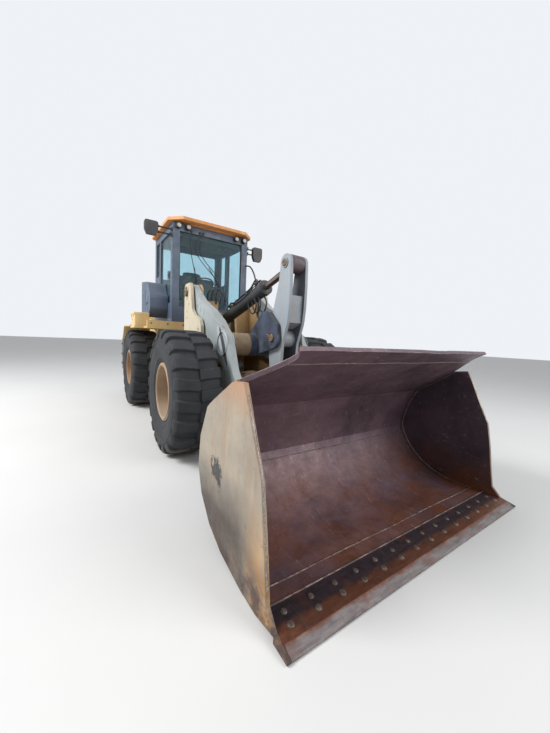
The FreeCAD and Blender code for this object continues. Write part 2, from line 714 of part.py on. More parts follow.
for side in (1, -1):
    pin_holes.append(cylinder_z("steer_hole_" + label_side(side), hitch_x + s.steer_eye_ahead,
                                s.steer_eye_y * side, s.steer_pin_radius + s.seat_gap,
                                s.steer_z - 90, s.steer_z + 90))
node("front_frame", cut("front_frame_holed", fuse("front_frame_solid", front_pieces), pin_holes))

pins = []
for side in (1, -1):
    name = label_side(side)
    y0, y1 = between(side, s.tower_inner_y - 25, s.tower_outer_y + s.tower_plate + 25)
    pins.append(cylinder_y("arm_pin_" + name, ARM, s.arm_pin_radius, y0, y1))
    y0, y1 = between(side, s.lift_y - 135, s.tower_inner_y + s.plate + 10)
    pins.append(cylinder_y("lift_base_pin_" + name, LIFT_BASE, s.pin_radius, y0, y1))
    for which, z0 in (("under", s.steer_z - 95), ("over", s.steer_z + 45)):
        pins.append(cylinder_z("steer_eye_pin_%s_%s" % (name, which), hitch_x + s.steer_eye_ahead,
                               s.steer_eye_y * side, s.steer_pin_radius, z0, z0 + 50))
tilt_pin_y = s.tilt_barrel_radius + 50
pins.append(cylinder_y("tilt_base_pin", TILT_BASE, s.pin_radius, -tilt_pin_y, tilt_pin_y))
for level, middle_z in hitch_levels():
    pins.append(cylinder_z("hitch_pin_" + level, hitch_x, 0, s.hitch_pin_radius, middle_z - 95, middle_z + 95))
node("frame_pins", group("frame_pins_set", pins))


# Lift arms: two bent plates, a tube across and the bellcrank's ears

def on_arm(along, up):
    """A point given as shares of the pin-to-pin line, along it and square to it."""
    dx = BUCKET[0] - ARM[0]
    dz = BUCKET[1] - ARM[1]
    return (ARM[0] + dx * along - dz * up, ARM[1] + dz * along + dx * up)


# Lift arm outline as shares of the pin distance: along, up, corner radius
ARM_EDGE = (
    (-0.020, 0.047, 0), (0.145, 0.056, 300), (0.290, 0.095, 500), (0.399, 0.112, 300),
    (0.480, 0.108, 300), (0.545, 0.085, 300), (0.640, 0.030, 300), (0.985, 0.044, 0),
    (0.985, -0.044, 0), (0.893, -0.100, 200), (0.774, -0.117, 300), (0.644, -0.105, 300),
    (0.439, -0.076, 300), (0.200, -0.052, 200), (-0.010, -0.048, 0),
)


def lift_arm(side):
    name = label_side(side)
    y0, y1 = between(side, s.arm_inner_y, arm_outer_y)
    outline = [on_arm(u, w) for u, w, r in ARM_EDGE]
    rounds = [p + (r,) for p, (u, w, r) in zip(outline, ARM_EDGE) if r]
    web = plate_y("arm_web_" + name, outline, y0, y1, (), rounds)
    heel = cylinder_y("arm_heel_" + name, ARM, s.arm_boss, y0, y1)
    toe = cylinder_y("arm_toe_" + name, BUCKET, s.arm_boss - 12, y0, y1)
    solid = fuse("arm_solid_" + name, [web, heel, toe])
    y0, y1 = between(side, s.arm_inner_y - 10, arm_outer_y + 10)
    holes = [
        cylinder_y("arm_bore_" + name, ARM, s.arm_pin_radius + s.running_gap, y0, y1),
        cylinder_y("toe_bore_" + name, BUCKET, s.arm_pin_radius + s.running_gap, y0, y1),
    ]
    return cut("arm_" + name, solid, holes)


TUBE = on_arm(0.487, 0.058)
ear_gap_y = crank_outer_y + 10
arm_pieces = sides(lift_arm)
tube = cylinder_y("cross_tube", TUBE, s.cross_tube_radius, -s.arm_inner_y, s.arm_inner_y)
tube_hole = cylinder_y("cross_tube_hole", TUBE, s.cross_tube_radius - s.cross_tube_wall,
                       -(s.arm_inner_y - 1), s.arm_inner_y - 1)
arm_pieces.append(cut("cross_tube_open", tube, [tube_hole]))
for side in (1, -1):
    name = label_side(side)
    y0, y1 = between(side, ear_gap_y, ear_gap_y + s.ear_plate)
    ear = plate_y("crank_ear_web_" + name, (
        (TUBE[0] + 40, TUBE[1] - s.cross_tube_radius + 10), (CRANK[0] + 20, CRANK[1] - 118),
        (CRANK[0] + 115, CRANK[1] + 20), (CRANK[0] + 90, CRANK[1] + 155), (CRANK[0] - 100, CRANK[1] + 315),
        (CRANK[0] - 225, CRANK[1] + 315), (TUBE[0] - 65, TUBE[1] + s.cross_tube_radius + 40),
        (TUBE[0] - 100, TUBE[1] + 60),
    ), y0, y1, (), ((CRANK[0] + 90, CRANK[1] + 155, 60), (CRANK[0] - 100, CRANK[1] + 315, 60),
                    (CRANK[0] - 225, CRANK[1] + 315, 60)))
    head = cylinder_y("crank_ear_head_" + name, CRANK, 120, y0, y1)
    y0, y1 = between(side, ear_gap_y - 5, ear_gap_y + s.ear_plate + 5)
    hole = cylinder_y("crank_ear_hole_" + name, CRANK, s.crank_pin_radius + s.seat_gap, y0, y1)
    inside = cylinder_y("crank_ear_bore_" + name, TUBE, s.cross_tube_radius - s.cross_tube_wall, y0, y1)
    arm_pieces.append(cut("crank_ear_" + name, fuse("crank_ear_solid_" + name, [ear, head]), [hole, inside]))
    y0, y1 = between(side, s.lift_y + s.lift_eye_half + 6, s.arm_inner_y)
    arm_pieces.append(cylinder_y("lift_eye_boss_" + name, LIFT_EYE, s.pin_radius * 2, y0, y1))
node("lift_arms", fuse("lift_arms_solid", arm_pieces))
crank_pin_y = ear_gap_y + s.ear_plate + 12
node("crank_pin", cylinder_y("crank_pin_solid", CRANK, s.crank_pin_radius, -crank_pin_y, crank_pin_y))


# Bellcrank: two tall plates, their web and the upper and lower pins

CRANK_EDGE = (
    ("top", -92, 0), ("top", -118, -210), ("pivot", -95, 270), ("pivot", -165, 0), ("pivot", -130, -190),
    ("low", -85, 120), ("low", -85, 0), ("low", 85, 0), ("low", 85, 150), ("pivot", 130, -60),
    ("pivot", 215, 180), ("pivot", 235, 360), ("top", 108, -230), ("top", 98, 0),
)
CRANK_PLACES = {"top": TOP, "pivot": CRANK, "low": LOW}


def crank_plate(side):
    name = label_side(side)
    y0, y1 = between(side, s.crank_gap_y, crank_outer_y)
    outline = [(CRANK_PLACES[p][0] + dx, CRANK_PLACES[p][1] + dz) for p, dx, dz in CRANK_EDGE]
    rounds = [(outline[i][0], outline[i][1], r) for i, r in
              ((1, 300), (2, 300), (3, 120), (4, 200), (9, 150), (10, 300), (11, 300), (12, 300))]
    web = plate_y("crank_web_" + name, outline, y0, y1, (), rounds)
    heads = [
        cylinder_y("crank_top_" + name, TOP, 98, y0, y1),
        cylinder_y("crank_low_" + name, LOW, 85, y0, y1),
    ]
    y0, y1 = between(side, s.crank_gap_y - 5, crank_outer_y + 5)
    hole = cylinder_y("crank_hole_" + name, CRANK, s.crank_pin_radius + s.running_gap, y0, y1)
    return cut("crank_" + name, fuse("crank_solid_" + name, [web] + heads), [hole])


crank_pieces = sides(crank_plate)
gap_y = s.crank_gap_y
crank_web = plate_y("crank_web", (
    (CRANK[0] + 60, CRANK[1] + 110), (CRANK[0] + 195, CRANK[1] + 180), (CRANK[0] + 205, CRANK[1] + 480),
    (CRANK[0] + 165, CRANK[1] + 480), (CRANK[0] + 150, CRANK[1] + 215), (CRANK[0] + 45, CRANK[1] + 150),
), -gap_y, gap_y)
boss = cylinder_y("crank_boss", CRANK, 100, -gap_y, gap_y)
boss_hole = cylinder_y("crank_boss_hole", CRANK, s.crank_pin_radius + s.running_gap, -(gap_y + 1), gap_y + 1)
crank_pieces += [crank_web, cut("crank_boss_open", boss, [boss_hole])]
for side in (1, -1):
    name = label_side(side)
    for spot, key in ((TOP, "top"), (LOW, "low")):
        y0, y1 = between(side, crank_outer_y, crank_outer_y + 14)
        crank_pieces.append(cylinder_y("crank_%s_cap_%s" % (key, name), spot, 52, y0, y1))
node("bellcrank", fuse("bellcrank_solid", crank_pieces))


# Tilt link between the bellcrank and the bucket

link_y = s.link_half_y


def bar_between(name, a, b, half, y0, y1):
    """A straight bar between two pins, its long edges parallel to their line."""
    length = math.hypot(b[0].value - a[0].value, b[1].value - a[1].value)
    ux = (b[0].value - a[0].value) / length
    uz = (b[1].value - a[1].value) / length
    outline = [(p[0] - uz * half * t, p[1] + ux * half * t) for p, t in ((a, 1), (b, 1), (b, -1), (a, -1))]
    return plate_y(name, outline, y0, y1)


link_bar = bar_between("link_bar", LOW, LUG, 62, -link_y, link_y)
link_eyes = [cylinder_y("link_eye_low", LOW, s.link_boss, -link_y, link_y),
             cylinder_y("link_eye_lug", LUG, s.link_boss, -link_y, link_y)]
link_hole = cylinder_y("link_hole", LUG, s.pin_radius + s.running_gap, -(link_y + 1), link_y + 1)
node("tilt_link", cut("tilt_link_holed", fuse("tilt_link_solid", [link_bar] + link_eyes), [link_hole]))


# Bucket: wrapper, side plates, spill guard, ears and edges

half_width = s.bucket_width / 2
tip_x = at_front(s.bucket_tip_ahead)
floor_z = s.bucket_floor_gap
rear_line = at_front(s.bucket_rear_ahead)
side_top_back = (at_front(2096), s.bucket_top_z)
guard_tip = (at_front(2440), s.guard_top_z)


def wrapper_wire(inset):
    """The wrapper's section: floor, round heel, back and the slope up to the guard."""
    floor = floor_z.value + inset
    low_front = V(tip_x.value - s.edge_depth.value, 0, floor)
    heel_start = V(rear_line.value + 740, 0, floor)
    heel_mid = V(rear_line.value + 240 + inset * 0.7, 0, floor + 120 + inset * 0.3)
    back = V(rear_line.value + inset, 0, 460)
    knee_mid = V(rear_line.value + 50 + inset, 0, 715 - inset * 0.3)
    knee = V(rear_line.value + 160 + inset * 0.8, 0, 935 - inset * 0.7)
    slope = V(guard_tip[0].value - knee.x, 0, guard_tip[1].value - 935)
    top = V(guard_tip[0].value + inset * 0.54, 0, guard_tip[1].value - inset * 0.84)
    return [
        Part.makeLine(low_front, heel_start),
        Part.Arc(heel_start, heel_mid, back).toShape(),
        Part.Arc(back, knee_mid, knee).toShape(),
        Part.makeLine(knee, top),
    ]


def wrapper_face():
    outer = wrapper_wire(0.0)
    inner = wrapper_wire(s.bucket_shell.value)
    close = [Part.makeLine(outer[0].Vertexes[0].Point, inner[0].Vertexes[0].Point),
             Part.makeLine(outer[-1].Vertexes[-1].Point, inner[-1].Vertexes[-1].Point)]
    return Part.Face(Part.Wire(Part.__sortEdges__(outer + inner + close)))


def inside_face():
    """The section of the bowl in front of the wrapper."""
    inner = wrapper_wire(s.bucket_shell.value)
    low, high = inner[0].Vertexes[0].Point, inner[-1].Vertexes[-1].Point
    far = V(high.x + 200, 0, high.z)
    near = V(high.x + 200, 0, low.z)
    close = [Part.makeLine(high, far), Part.makeLine(far, near), Part.makeLine(near, low)]
    return Part.Face(Part.Wire(Part.__sortEdges__(inner + close)))


def across_bucket(name, face, half):
    """A section swept over the bucket's width."""
    feature = add("Part::Feature", name)
    solid = face.extrude(V(0, 2 * half, 0))
    solid.translate(V(0, -half, 0))
    feature.Shape = solid
    return feature


half = half_width.value - s.bucket_side.value
wrapper = across_bucket("wrapper", wrapper_face(), half)
bowl = across_bucket("bowl", inside_face(), half)

# Edge of a notch as (back from the guard's tip, in from its half width, corner radius)
NOTCH_EDGE = ((345, -140, 0), (225, -45, 60), (110, 42, 40), (55, 66, 40), (18, 42, 30), (-40, 0, 0))


def guard_notch(side):
    """What is cut away beside the spill guard, above the side plate."""
    edge = [(guard_tip[0] - back, (s.guard_half_y - inward) * side, radius)
            for back, inward, radius in NOTCH_EDGE]
    outline = [point[:2] for point in edge] + [
        (guard_tip[0] + 40, (half_width + 10) * side), (guard_tip[0] - 345, (half_width + 10) * side)]
    return plate_z("guard_notch_" + label_side(side), outline, s.bucket_top_z + 1, s.guard_top_z + 20, (),
                   [point for point in edge if point[2]])


guard_cuts = sides(guard_notch)
wrapper_cut = cut("wrapper_notched", wrapper, guard_cuts)

side_outline = (
    (at_front(2455), floor_z), (at_front(2285), floor_z), (at_front(1990), floor_z + 40),
    (at_front(1790), floor_z + 115), (at_front(1625), floor_z + 270),
    (rear_line, s.bucket_pin_z + 130), (at_front(1580), 700), (at_front(1705), 935),
    side_top_back, (at_front(2240), s.bucket_top_z + 19), (at_front(2461), 716), (at_front(2552), 118),
    (at_front(2625), floor_z + 36), (at_front(2625), floor_z + 33),
)


def bucket_side(side):
    y0, y1 = between(side, half_width - s.bucket_side, half_width)
    return plate_y("bucket_side_" + label_side(side), side_outline, y0, y1)


def bucket_ear(name, spot, radius, y0, y1, foot_low, foot_high):
    """An ear from the wrapper's back to a hinge pin."""
    head = cylinder_y(name + "_head", spot, radius, y0, y1)
    web = plate_y(name + "_web", (
        (spot[0], spot[1] + radius), (spot[0], spot[1] - radius), foot_low, foot_high,
    ), y0, y1)
    return [head, web]


bucket_ears = []
for side in (1, -1):
    name = label_side(side)
    for which, low, high in (
        ("inner", s.arm_inner_y - s.ear_gap - s.ear_plate, s.arm_inner_y - s.ear_gap),
        ("outer", arm_outer_y + s.ear_gap, arm_outer_y + s.ear_gap + s.ear_plate),
    ):
        y0, y1 = between(side, low, high)
        bucket_ears += bucket_ear("hinge_ear_%s_%s" % (which, name), BUCKET, 110, y0, y1,
                                    (at_front(1760), 180), (at_front(1600), 640))
    y0, y1 = between(side, s.link_half_y + 12, s.link_half_y + 12 + s.crank_plate)
    bucket_ears += bucket_ear("link_ear_" + name, LUG, 82, y0, y1, (at_front(1610), 480), (at_front(1640), 760))
bucket_pieces = [wrapper_cut, cut("bucket_ears", fuse("bucket_ears_solid", bucket_ears), [bowl])]
bucket_pieces += sides(bucket_side)
bucket_holes = [cylinder_y("link_hole_bucket", LUG, s.pin_radius + s.seat_gap, -200, 200)]
for side in (1, -1):
    y0, y1 = between(side, s.arm_inner_y - 90, arm_outer_y + 90)
    bucket_holes.append(cylinder_y("hinge_hole_" + label_side(side), BUCKET,
                                   s.arm_pin_radius + s.seat_gap, y0, y1))
node("bucket_shell", cut("bucket_holed", fuse("bucket_solid", bucket_pieces), bucket_holes))

bucket_pins = []
for side in (1, -1):
    ear_reach = s.ear_gap + s.ear_plate + 12
    y0, y1 = between(side, s.arm_inner_y - ear_reach, arm_outer_y + ear_reach)
    bucket_pins.append(cylinder_y("bucket_pin_" + label_side(side), BUCKET, s.arm_pin_radius, y0, y1))
lug_pin_y = s.link_half_y + s.crank_plate + 24
bucket_pins.append(cylinder_y("bucket_link_pin", LUG, s.pin_radius, -lug_pin_y, lug_pin_y))
node("bucket_pins", group("bucket_pins_set", bucket_pins))

edge_y = half_width - s.bucket_side
edge = plate_y("edge_blade", (
    (tip_x, floor_z + 6), (tip_x, floor_z), (tip_x - s.edge_depth + s.seat_gap, floor_z),
    (tip_x - s.edge_depth + s.seat_gap, floor_z + s.edge_thick), (tip_x - 60, floor_z + s.edge_thick),
), -(edge_y - s.seat_gap), edge_y - s.seat_gap)
node("cutting_edge", edge)
guards = []
for side in (1, -1):
    y0, y1 = between(side, half_width - s.bucket_side, half_width)
    guards.append(plate_y("corner_guard_" + label_side(side), (
        (at_front(2625) + s.seat_gap, floor_z), (tip_x, floor_z), (tip_x, floor_z + 12),
        (at_front(2625) + s.seat_gap, floor_z + 36),
    ), y0, y1))
node("corner_guards", group("corner_guards_set", guards))


# Hydraulic cylinders

def cylinder_pair(name, base, eye, length, barrel_r, rod_r, rod_start, half_eye, pin_r, offset, side=0):
    """Barrel and rod of a cylinder that lies in a plane square to Y."""
    dx = eye[0].value - base[0].value
    dz = eye[1].value - base[1].value
    angle = math.degrees(math.atan2(dx, dz))
    span = math.hypot(dx, dz)
    middle = num(offset) * side

    def along(label, radius, start, end):
        solid = add("Part::Cylinder", label)
        bind(solid, "Radius", radius)
        bind(solid, "Height", end - start)
        spot = FreeCAD.Rotation(V(0, 1, 0), angle).multVec(V(0, 0, num(start)))
        solid.Placement = FreeCAD.Placement(
            V(base[0].value, middle, base[1].value) + spot, FreeCAD.Rotation(V(0, 1, 0), angle))
        return solid

    def across(label, spot, radius, width):
        return cylinder_y(label, spot, radius, middle - num(width), middle + num(width))

    body = along(name + "_tube", barrel_r, 20.0, length)
    gland = along(name + "_gland", barrel_r + 9, length - 60, length)
    tail = across(name + "_tail", base, pin_r * 2, half_eye)
    bore = along(name + "_bore", rod_r + s.running_gap, num(pin_r) * 2 + 20, length + 1)
    hole = across(name + "_tail_hole", base, pin_r + s.running_gap, num(barrel_r) + 10)
    barrel = cut(name + "_barrel", fuse(name + "_barrel_solid", [body, gland, tail]), [bore, hole])
    shaft = along(name + "_shaft", rod_r, num(rod_start), span)
    rod_eye = across(name + "_rod_eye", eye, pin_r * 2, half_eye)
    rod = fuse(name + "_rod", [shaft, rod_eye])
    return barrel, rod


barrels, rods = [], []
for side in (1, -1):
    barrel, rod = cylinder_pair("lift_" + label_side(side), LIFT_BASE, LIFT_EYE, s.lift_barrel_length,
                                s.lift_barrel_radius, s.lift_rod_radius, s.lift_rod_start,
                                s.lift_eye_half, s.pin_radius, s.lift_y, side)
    barrels.append(barrel)
    rods.append(rod)
node("lift_barrels", group("lift_barrel_set", barrels))
node("lift_rods", group("lift_rod_set", rods))
barrel, rod = cylinder_pair("tilt", TILT_BASE, TOP, s.tilt_barrel_length, s.tilt_barrel_radius,
                            s.tilt_rod_radius, s.tilt_rod_start, s.tilt_eye_half, s.pin_radius, 0)
node("tilt_barrel", barrel)
node("tilt_rod", rod)


def steering_cylinder(side):
    """Barrel and rod of a steering cylinder, which lies in a level plane."""
    name = label_side(side)
    base = V(hitch_x.value - s.steer_base_back.value, s.steer_base_y.value * side, s.steer_z.value)
    eye = V(hitch_x.value + s.steer_eye_ahead.value, s.steer_eye_y.value * side, s.steer_z.value)
    line = eye - base
    turn = FreeCAD.Rotation(V(0, 0, 1), line)

    def along(label, radius, start, end):
        solid = add("Part::Cylinder", label)
        bind(solid, "Radius", radius)
        bind(solid, "Height", end - start)
        solid.Placement = FreeCAD.Placement(base + turn.multVec(V(0, 0, num(start))), turn)
        return solid

    def upright(label, spot, radius, half):
        return cylinder_z(label, spot.x, spot.y, radius, s.steer_z - half, s.steer_z + half)

    body = along("steer_tube_" + name, s.steer_barrel_radius, 15, s.steer_barrel_length)
    tail = upright("steer_tail_" + name, base, s.steer_pin_radius * 2, 38)
    bore = along("steer_bore_" + name, s.steer_rod_radius + s.running_gap, 60, s.steer_barrel_length + 1)
    hole = upright("steer_tail_hole_" + name, base, s.steer_pin_radius + s.running_gap, 50)
    node("steer_barrel_" + name,
         cut("steer_barrel_cut_" + name, fuse("steer_barrel_solid_" + name, [body, tail]), [bore, hole]))
    shaft = along("steer_shaft_" + name, s.steer_rod_radius, num(s.steer_rod_start), line.Length)
    eye_ring = upright("steer_ring_" + name, eye, s.steer_pin_radius * 2, 38)
    node("steer_rod_" + name, fuse("steer_rod_solid_" + name, [shaft, eye_ring]))


for side in (1, -1):
    steering_cylinder(side)


# Rear frame: two rails, hitch plates, cross walls and cab pedestals

rail_front = hitch_x - s.hitch_rear
weight_front = at_front(-s.weight_front_back)
rail_outline = (
    (rail_front, s.rail_low_z), (rail_front, s.rail_top_z), (weight_front, s.rail_top_z + 80),
    (weight_front, s.rail_low_z + 200), (rear_x - 420, s.rail_low_z + 200),
    (rear_x - 300, axle_seat), (rear_x + 300, axle_seat), (rear_x + 420, s.rail_low_z),
)
rear_pieces = []
rail_outer = s.rail_y + s.rail_plate


def pedestal(name, x0):
    """An upright cross plate from the rails up to the platform, wider at its top."""
    top = s.deck_z - s.seat_gap
    wide = s.pedestal_half_y
    return plate_x(name, (
        (-rail_outer, s.rail_top_z - 60), (rail_outer, s.rail_top_z - 60),
        (wide, top - 90), (wide, top), (-wide, top), (-wide, top - 90),
    ), x0, x0 + s.rail_plate)


for side in (1, -1):
    y0, y1 = between(side, s.rail_y, rail_outer)
    rear_pieces.append(plate_y("rail_" + label_side(side), rail_outline, y0, y1))
    y0, y1 = between(side, rail_outer, s.steer_base_y + 40)
    for which, z0 in (("under", s.steer_z - 75), ("over", s.steer_z + 45)):
        spot = hitch_x - s.steer_base_back
        rear_pieces.append(box("steer_base_%s_%s" % (which, label_side(side)), spot - 45, spot + 45, y0, y1,
                               z0, z0 + s.plate))
for which, x0 in (("front", at_front(-1740)), ("rear", at_front(-2800))):
    rear_pieces.append(pedestal("pedestal_" + which, x0))
engine_front = at_front(-3200)
engine_low = s.rail_top_z - 250
for which, x0 in (("front", engine_front - 120), ("rear", engine_front - 740)):
    rear_pieces.append(box("engine_bearer_" + which, x0 - 80, x0, -s.rail_y, s.rail_y,
                           engine_low - s.seat_gap - s.plate, engine_low - s.seat_gap))
rear_pieces += [
    box("rear_front_wall", rail_front - s.plate, rail_front, -s.rail_y, s.rail_y, s.rail_low_z, s.rail_top_z),
    box("rear_mid_wall", engine_front + 10, engine_front + 10 + s.plate, -s.rail_y, s.rail_y, axle_seat + 40,
        s.rail_top_z),
    box("rear_end_wall", weight_front, weight_front + s.plate, -s.rail_y, s.rail_y, s.rail_low_z + 200,
        s.rail_top_z + 80),
    box("rear_belly", rear_x + 420, rail_front, -s.rail_y, s.rail_y, s.rail_low_z, s.rail_low_z + s.plate),
]
for level, middle_z in hitch_levels():
    rear_pieces += fork_plates("lug_" + level, rail_front, s.rail_y - 40,
                               middle_z - s.hitch_lug / 2, middle_z + s.hitch_lug / 2)
rear_holes = [cylinder_z("lug_hole_" + level, hitch_x, 0, s.hitch_pin_radius + s.running_gap,
                         middle_z - 60, middle_z + 60) for level, middle_z in hitch_levels()]
for side in (1, -1):
    rear_holes.append(cylinder_z("steer_base_hole_" + label_side(side), hitch_x - s.steer_base_back,
                                 s.steer_base_y * side, s.steer_pin_radius + s.seat_gap,
                                 s.steer_z - 90, s.steer_z + 90))
node("rear_frame", cut("rear_frame_holed", fuse("rear_frame_solid", rear_pieces), rear_holes))
node("steer_base_pins", group("steer_base_pin_set", sides(
    lambda side: cylinder_z("steer_base_pin_" + label_side(side), hitch_x - s.steer_base_back,
                            s.steer_base_y * side, s.steer_pin_radius, s.steer_z - 95, s.steer_z + 95))))

rear_end = at_front(-s.rear_end_back)
weight_half = s.weight_half_y
weight = plate_z("weight_block", (
    (weight_front - s.seat_gap, -weight_half), (weight_front - s.seat_gap, weight_half),
    (rear_end + 190, weight_half), (rear_end, weight_half - 240),
    (rear_end, -(weight_half - 240)), (rear_end + 190, -weight_half),
), s.weight_low_z, s.weight_top_z, (),
    ((rear_end + 190, weight_half, 90), (rear_end, weight_half - 240, 90),
     (rear_end, -(weight_half - 240), 90), (rear_end + 190, -weight_half, 90)))
tow_slot = box("tow_slot", rear_end - 10, rear_end + 140, -90, 90, s.weight_low_z + 110, s.weight_low_z + 230)
tow_bore = cylinder_z("tow_bore", rear_end + 70, 0, 26, s.weight_low_z + 40, s.weight_top_z + 1)
node("counterweight", cut("counterweight_cut", weight, [tow_slot, tow_bore]))

node("engine_block", box("engine_solid", engine_front - 800, engine_front, -(s.rail_y - 15), s.rail_y - 15,
                         engine_low, s.rail_top_z + 480))


# Hood, rear grille door and exhaust

hood_front = at_front(-s.hood_front_back)
hood_rear = at_front(-s.hood_rear_back)
hood_half = s.hood_half_y
wall = s.hood_wall


def hood_section(name, inset, front, rear, low):
    top = s.hood_top_z - inset
    outline = ((front, low), (front, top), (rear, top - s.hood_drop), (rear, low))
    return plate_y(name, outline, -(hood_half - inset), hood_half - inset)


hood_outer = hood_section("hood_outer", 0, hood_front, hood_rear, s.hood_low_z)
doc.recompute()
hood_edges = [i for i, e in enumerate(hood_outer.Shape.Edges, start=1)
              if abs(e.Vertexes[0].Point.x - e.Vertexes[-1].Point.x) > 100 and e.Vertexes[0].Point.z > 2000]
hood_round = add("Part::Fillet", "hood_round")
hood_round.Base = hood_outer
hood_round.Edges = [(i, 110, 110) for i in hood_edges]
hood_inner = hood_section("hood_inner", wall, hood_front - wall, hood_rear - 10, s.hood_low_z - 10)
stack_x = at_front(-3350)
door_half = hood_half - wall - s.door_gap
hood_hinges, grille_hinges = door_hinges(
    "grille_hinge", hood_rear - s.hinge_out, door_half + s.door_gap / 2, (1500, 1800, 2100),
    (s.hinge_out - 6, s.hinge_out + 1, 9, 38), (s.hinge_out - 6, s.hinge_out + 1, -60, -9))
hood_holes = [cylinder_z("hood_hole_" + which, stack_x, y, radius + s.seat_gap, s.hood_top_z - 100,
                         s.hood_top_z + 10) for which, y, radius in (("stack", -300, 60), ("air", 280, 55))]
hood_shell = cut("hood_shell", hood_round, [hood_inner] + hood_holes)
node("engine_hood", fuse("hood_hinged", [hood_shell] + hood_hinges))

door_back = hood_rear
grille_low = s.weight_top_z + 40
grille_high = s.hood_top_z - s.hood_drop - 60
frame_w = 60
grille_plate = box("grille_plate", door_back, door_back + s.plate, -door_half, door_half,
                   grille_low, grille_high)
grille_open = box("grille_open", door_back - 10, door_back + s.plate + 10, -(door_half - frame_w),
                  door_half - frame_w, grille_low + frame_w, grille_high - frame_w)
grille_bars = []
bar_count = 9
for index in range(bar_count):
    z0 = grille_low + frame_w + (grille_high - grille_low - frame_w * 2) * ((index + 0.5) / bar_count) - 12
    grille_bars.append(box("grille_bar_%d" % index, door_back + 6, door_back + 24, -(door_half - frame_w),
                           door_half - frame_w, z0, z0 + 24))
node("grille_door", fuse("grille_door_solid", [cut("grille_frame", grille_plate, [grille_open])]
                        + grille_bars + grille_hinges))

stack = cylinder_z("stack_pipe", stack_x, -300, 60, s.hood_top_z - 60, s.hood_top_z + 480)
stack_hole = cylinder_z("stack_hole", stack_x, -300, 52, s.hood_top_z + 40, s.hood_top_z + 490)
node("exhaust_stack", cut("exhaust_stack_open", stack, [stack_hole]))
node("air_cleaner", fuse("air_cleaner_solid", [
    cylinder_z("air_neck", stack_x, 280, 55, s.hood_top_z - 60, s.hood_top_z + 120),
    cylinder_z("air_bowl", stack_x, 280, 120, s.hood_top_z + 120, s.hood_top_z + 300),
]))


# Platform, fenders, steps and rails

deck_front = at_front(-s.deck_front_back)
deck_rear = hood_front + 40
deck_half = s.deck_half_y
deck_plate = box("deck_plate", deck_rear, deck_front, -deck_half, deck_half, s.deck_z, s.deck_z + s.deck_plate)
deck_beam = box("deck_beam", deck_front - 60, deck_front, -deck_half, deck_half, s.deck_z,
                s.deck_z + s.deck_beam)
deck_hole = box("deck_hole", at_front(-2780), at_front(-1950), -250, 250, s.deck_z - 10, s.deck_z + 60)
wing_front = deck_front - 340
deck_wing = box("deck_wing", wing_front - 470, wing_front, -s.fender_half_y, -s.cab_half_y, s.deck_z,
                s.deck_z + s.deck_plate)
node("deck", cut("deck_cut", fuse("deck_solid", [deck_plate, deck_beam, deck_wing]), [deck_hole]))
box_front = wing_front - 20
box_rear = box_front - 350
box_foot = s.deck_z + s.deck_plate + s.seat_gap
box_inner = s.cab_half_y + s.case_depth + 5
node("tool_box", rounded(box("tool_box_solid", box_rear, box_front, -s.fender_half_y, -box_inner,
                             box_foot, box_foot + 230), (
    (box_front, -s.fender_half_y, 25), (box_rear, -s.fender_half_y, 25)), "z"))

fender_r = s.tyre_diameter / 2 + s.fender_gap


def fender(side):
    name = label_side(side)
    y0, y1 = between(side, s.fender_inner_y, s.fender_half_y)
    top = axle_z + fender_r
    outline = (
        (rear_x - 700, top - 260), (rear_x - 420, top), (rear_x + 420, top),
        (rear_x + 420, top - s.fender_plate), (rear_x - 410, top - s.fender_plate),
        (rear_x - 700 + s.fender_plate, top - 285), (rear_x - 700, top - 285),
    )
    return plate_y("fender_" + name, outline, y0, y1)


node("rear_fenders", group("rear_fender_set", sides(fender)))

step_x = (at_front(-2085), at_front(-1840))
step_y = (deck_half - 280, deck_half + 30)
step_rise = 330
step_low = 490
step_parts = [box("step_tread_%d" % i, step_x[0], step_x[1], step_y[0], step_y[1],
                  step_low + 30 + step_rise * i, step_low + 60 + step_rise * i) for i in range(3)]
for which, x in (("front", step_x[1] - 15), ("rear", step_x[0])):
    for edge, y in (("inner", step_y[0]), ("outer", step_y[1] - 15)):
        step_parts.append(box("step_stringer_%s_%s" % (which, edge), x, x + 15, y, y + 15, step_low,
                              s.deck_z - s.seat_gap))
node("access_steps", fuse("access_steps_solid", step_parts))


# Cab: hollow frame, roof, glass, door, seat and console

cab_front = at_front(-s.cab_front_back)
cab_rear = cab_front - s.cab_length
cab_half = s.cab_half_y
pillar = s.cab_pillar
cwall = s.cab_wall
cab_floor = s.deck_z + s.deck_plate + s.seat_gap


def cab_rise(share):
    """Height between the cab's floor (0) and the top of its pillars (1)."""
    return cab_floor + (s.cab_top_z - cab_floor) * share


window_top = cab_rise(0.93)
sill = cab_rise(0.245)
high_sill = cab_rise(0.57)
low_sill = cab_rise(0.21)
door_low = cab_floor + 60
door_top = cab_rise(0.955)
door_front = cab_front - pillar
door_rear = door_front - s.door_length

shell = box("cab_shell", cab_rear, cab_front, -cab_half, cab_half, cab_floor, s.cab_top_z)
room = box("cab_room", cab_rear + cwall, cab_front - cwall, -(cab_half - cwall), cab_half - cwall,
           cab_floor + cwall, s.cab_top_z + 10)
cab_cuts = [
    room,
    box("front_window", cab_front - cwall - 10, cab_front + 10, -(cab_half - pillar), cab_half - pillar,
        low_sill, window_top),
    box("rear_window", cab_rear - 10, cab_rear + cwall + 10, -(cab_half - pillar), cab_half - pillar,
        high_sill, window_top),
    box("right_window", door_rear, door_front, -(cab_half + 10), -(cab_half - cwall - 10), sill, window_top),
    box("door_opening", door_rear, door_front, cab_half - cwall - 10, cab_half + 10, door_low, door_top),
    box("left_quarter", cab_rear + pillar, door_rear - 60, cab_half - cwall - 10, cab_half + 10, high_sill,
        window_top),
    box("right_quarter", cab_rear + pillar, door_rear - 60, -(cab_half + 10), -(cab_half - cwall - 10),
        high_sill, window_top),
]
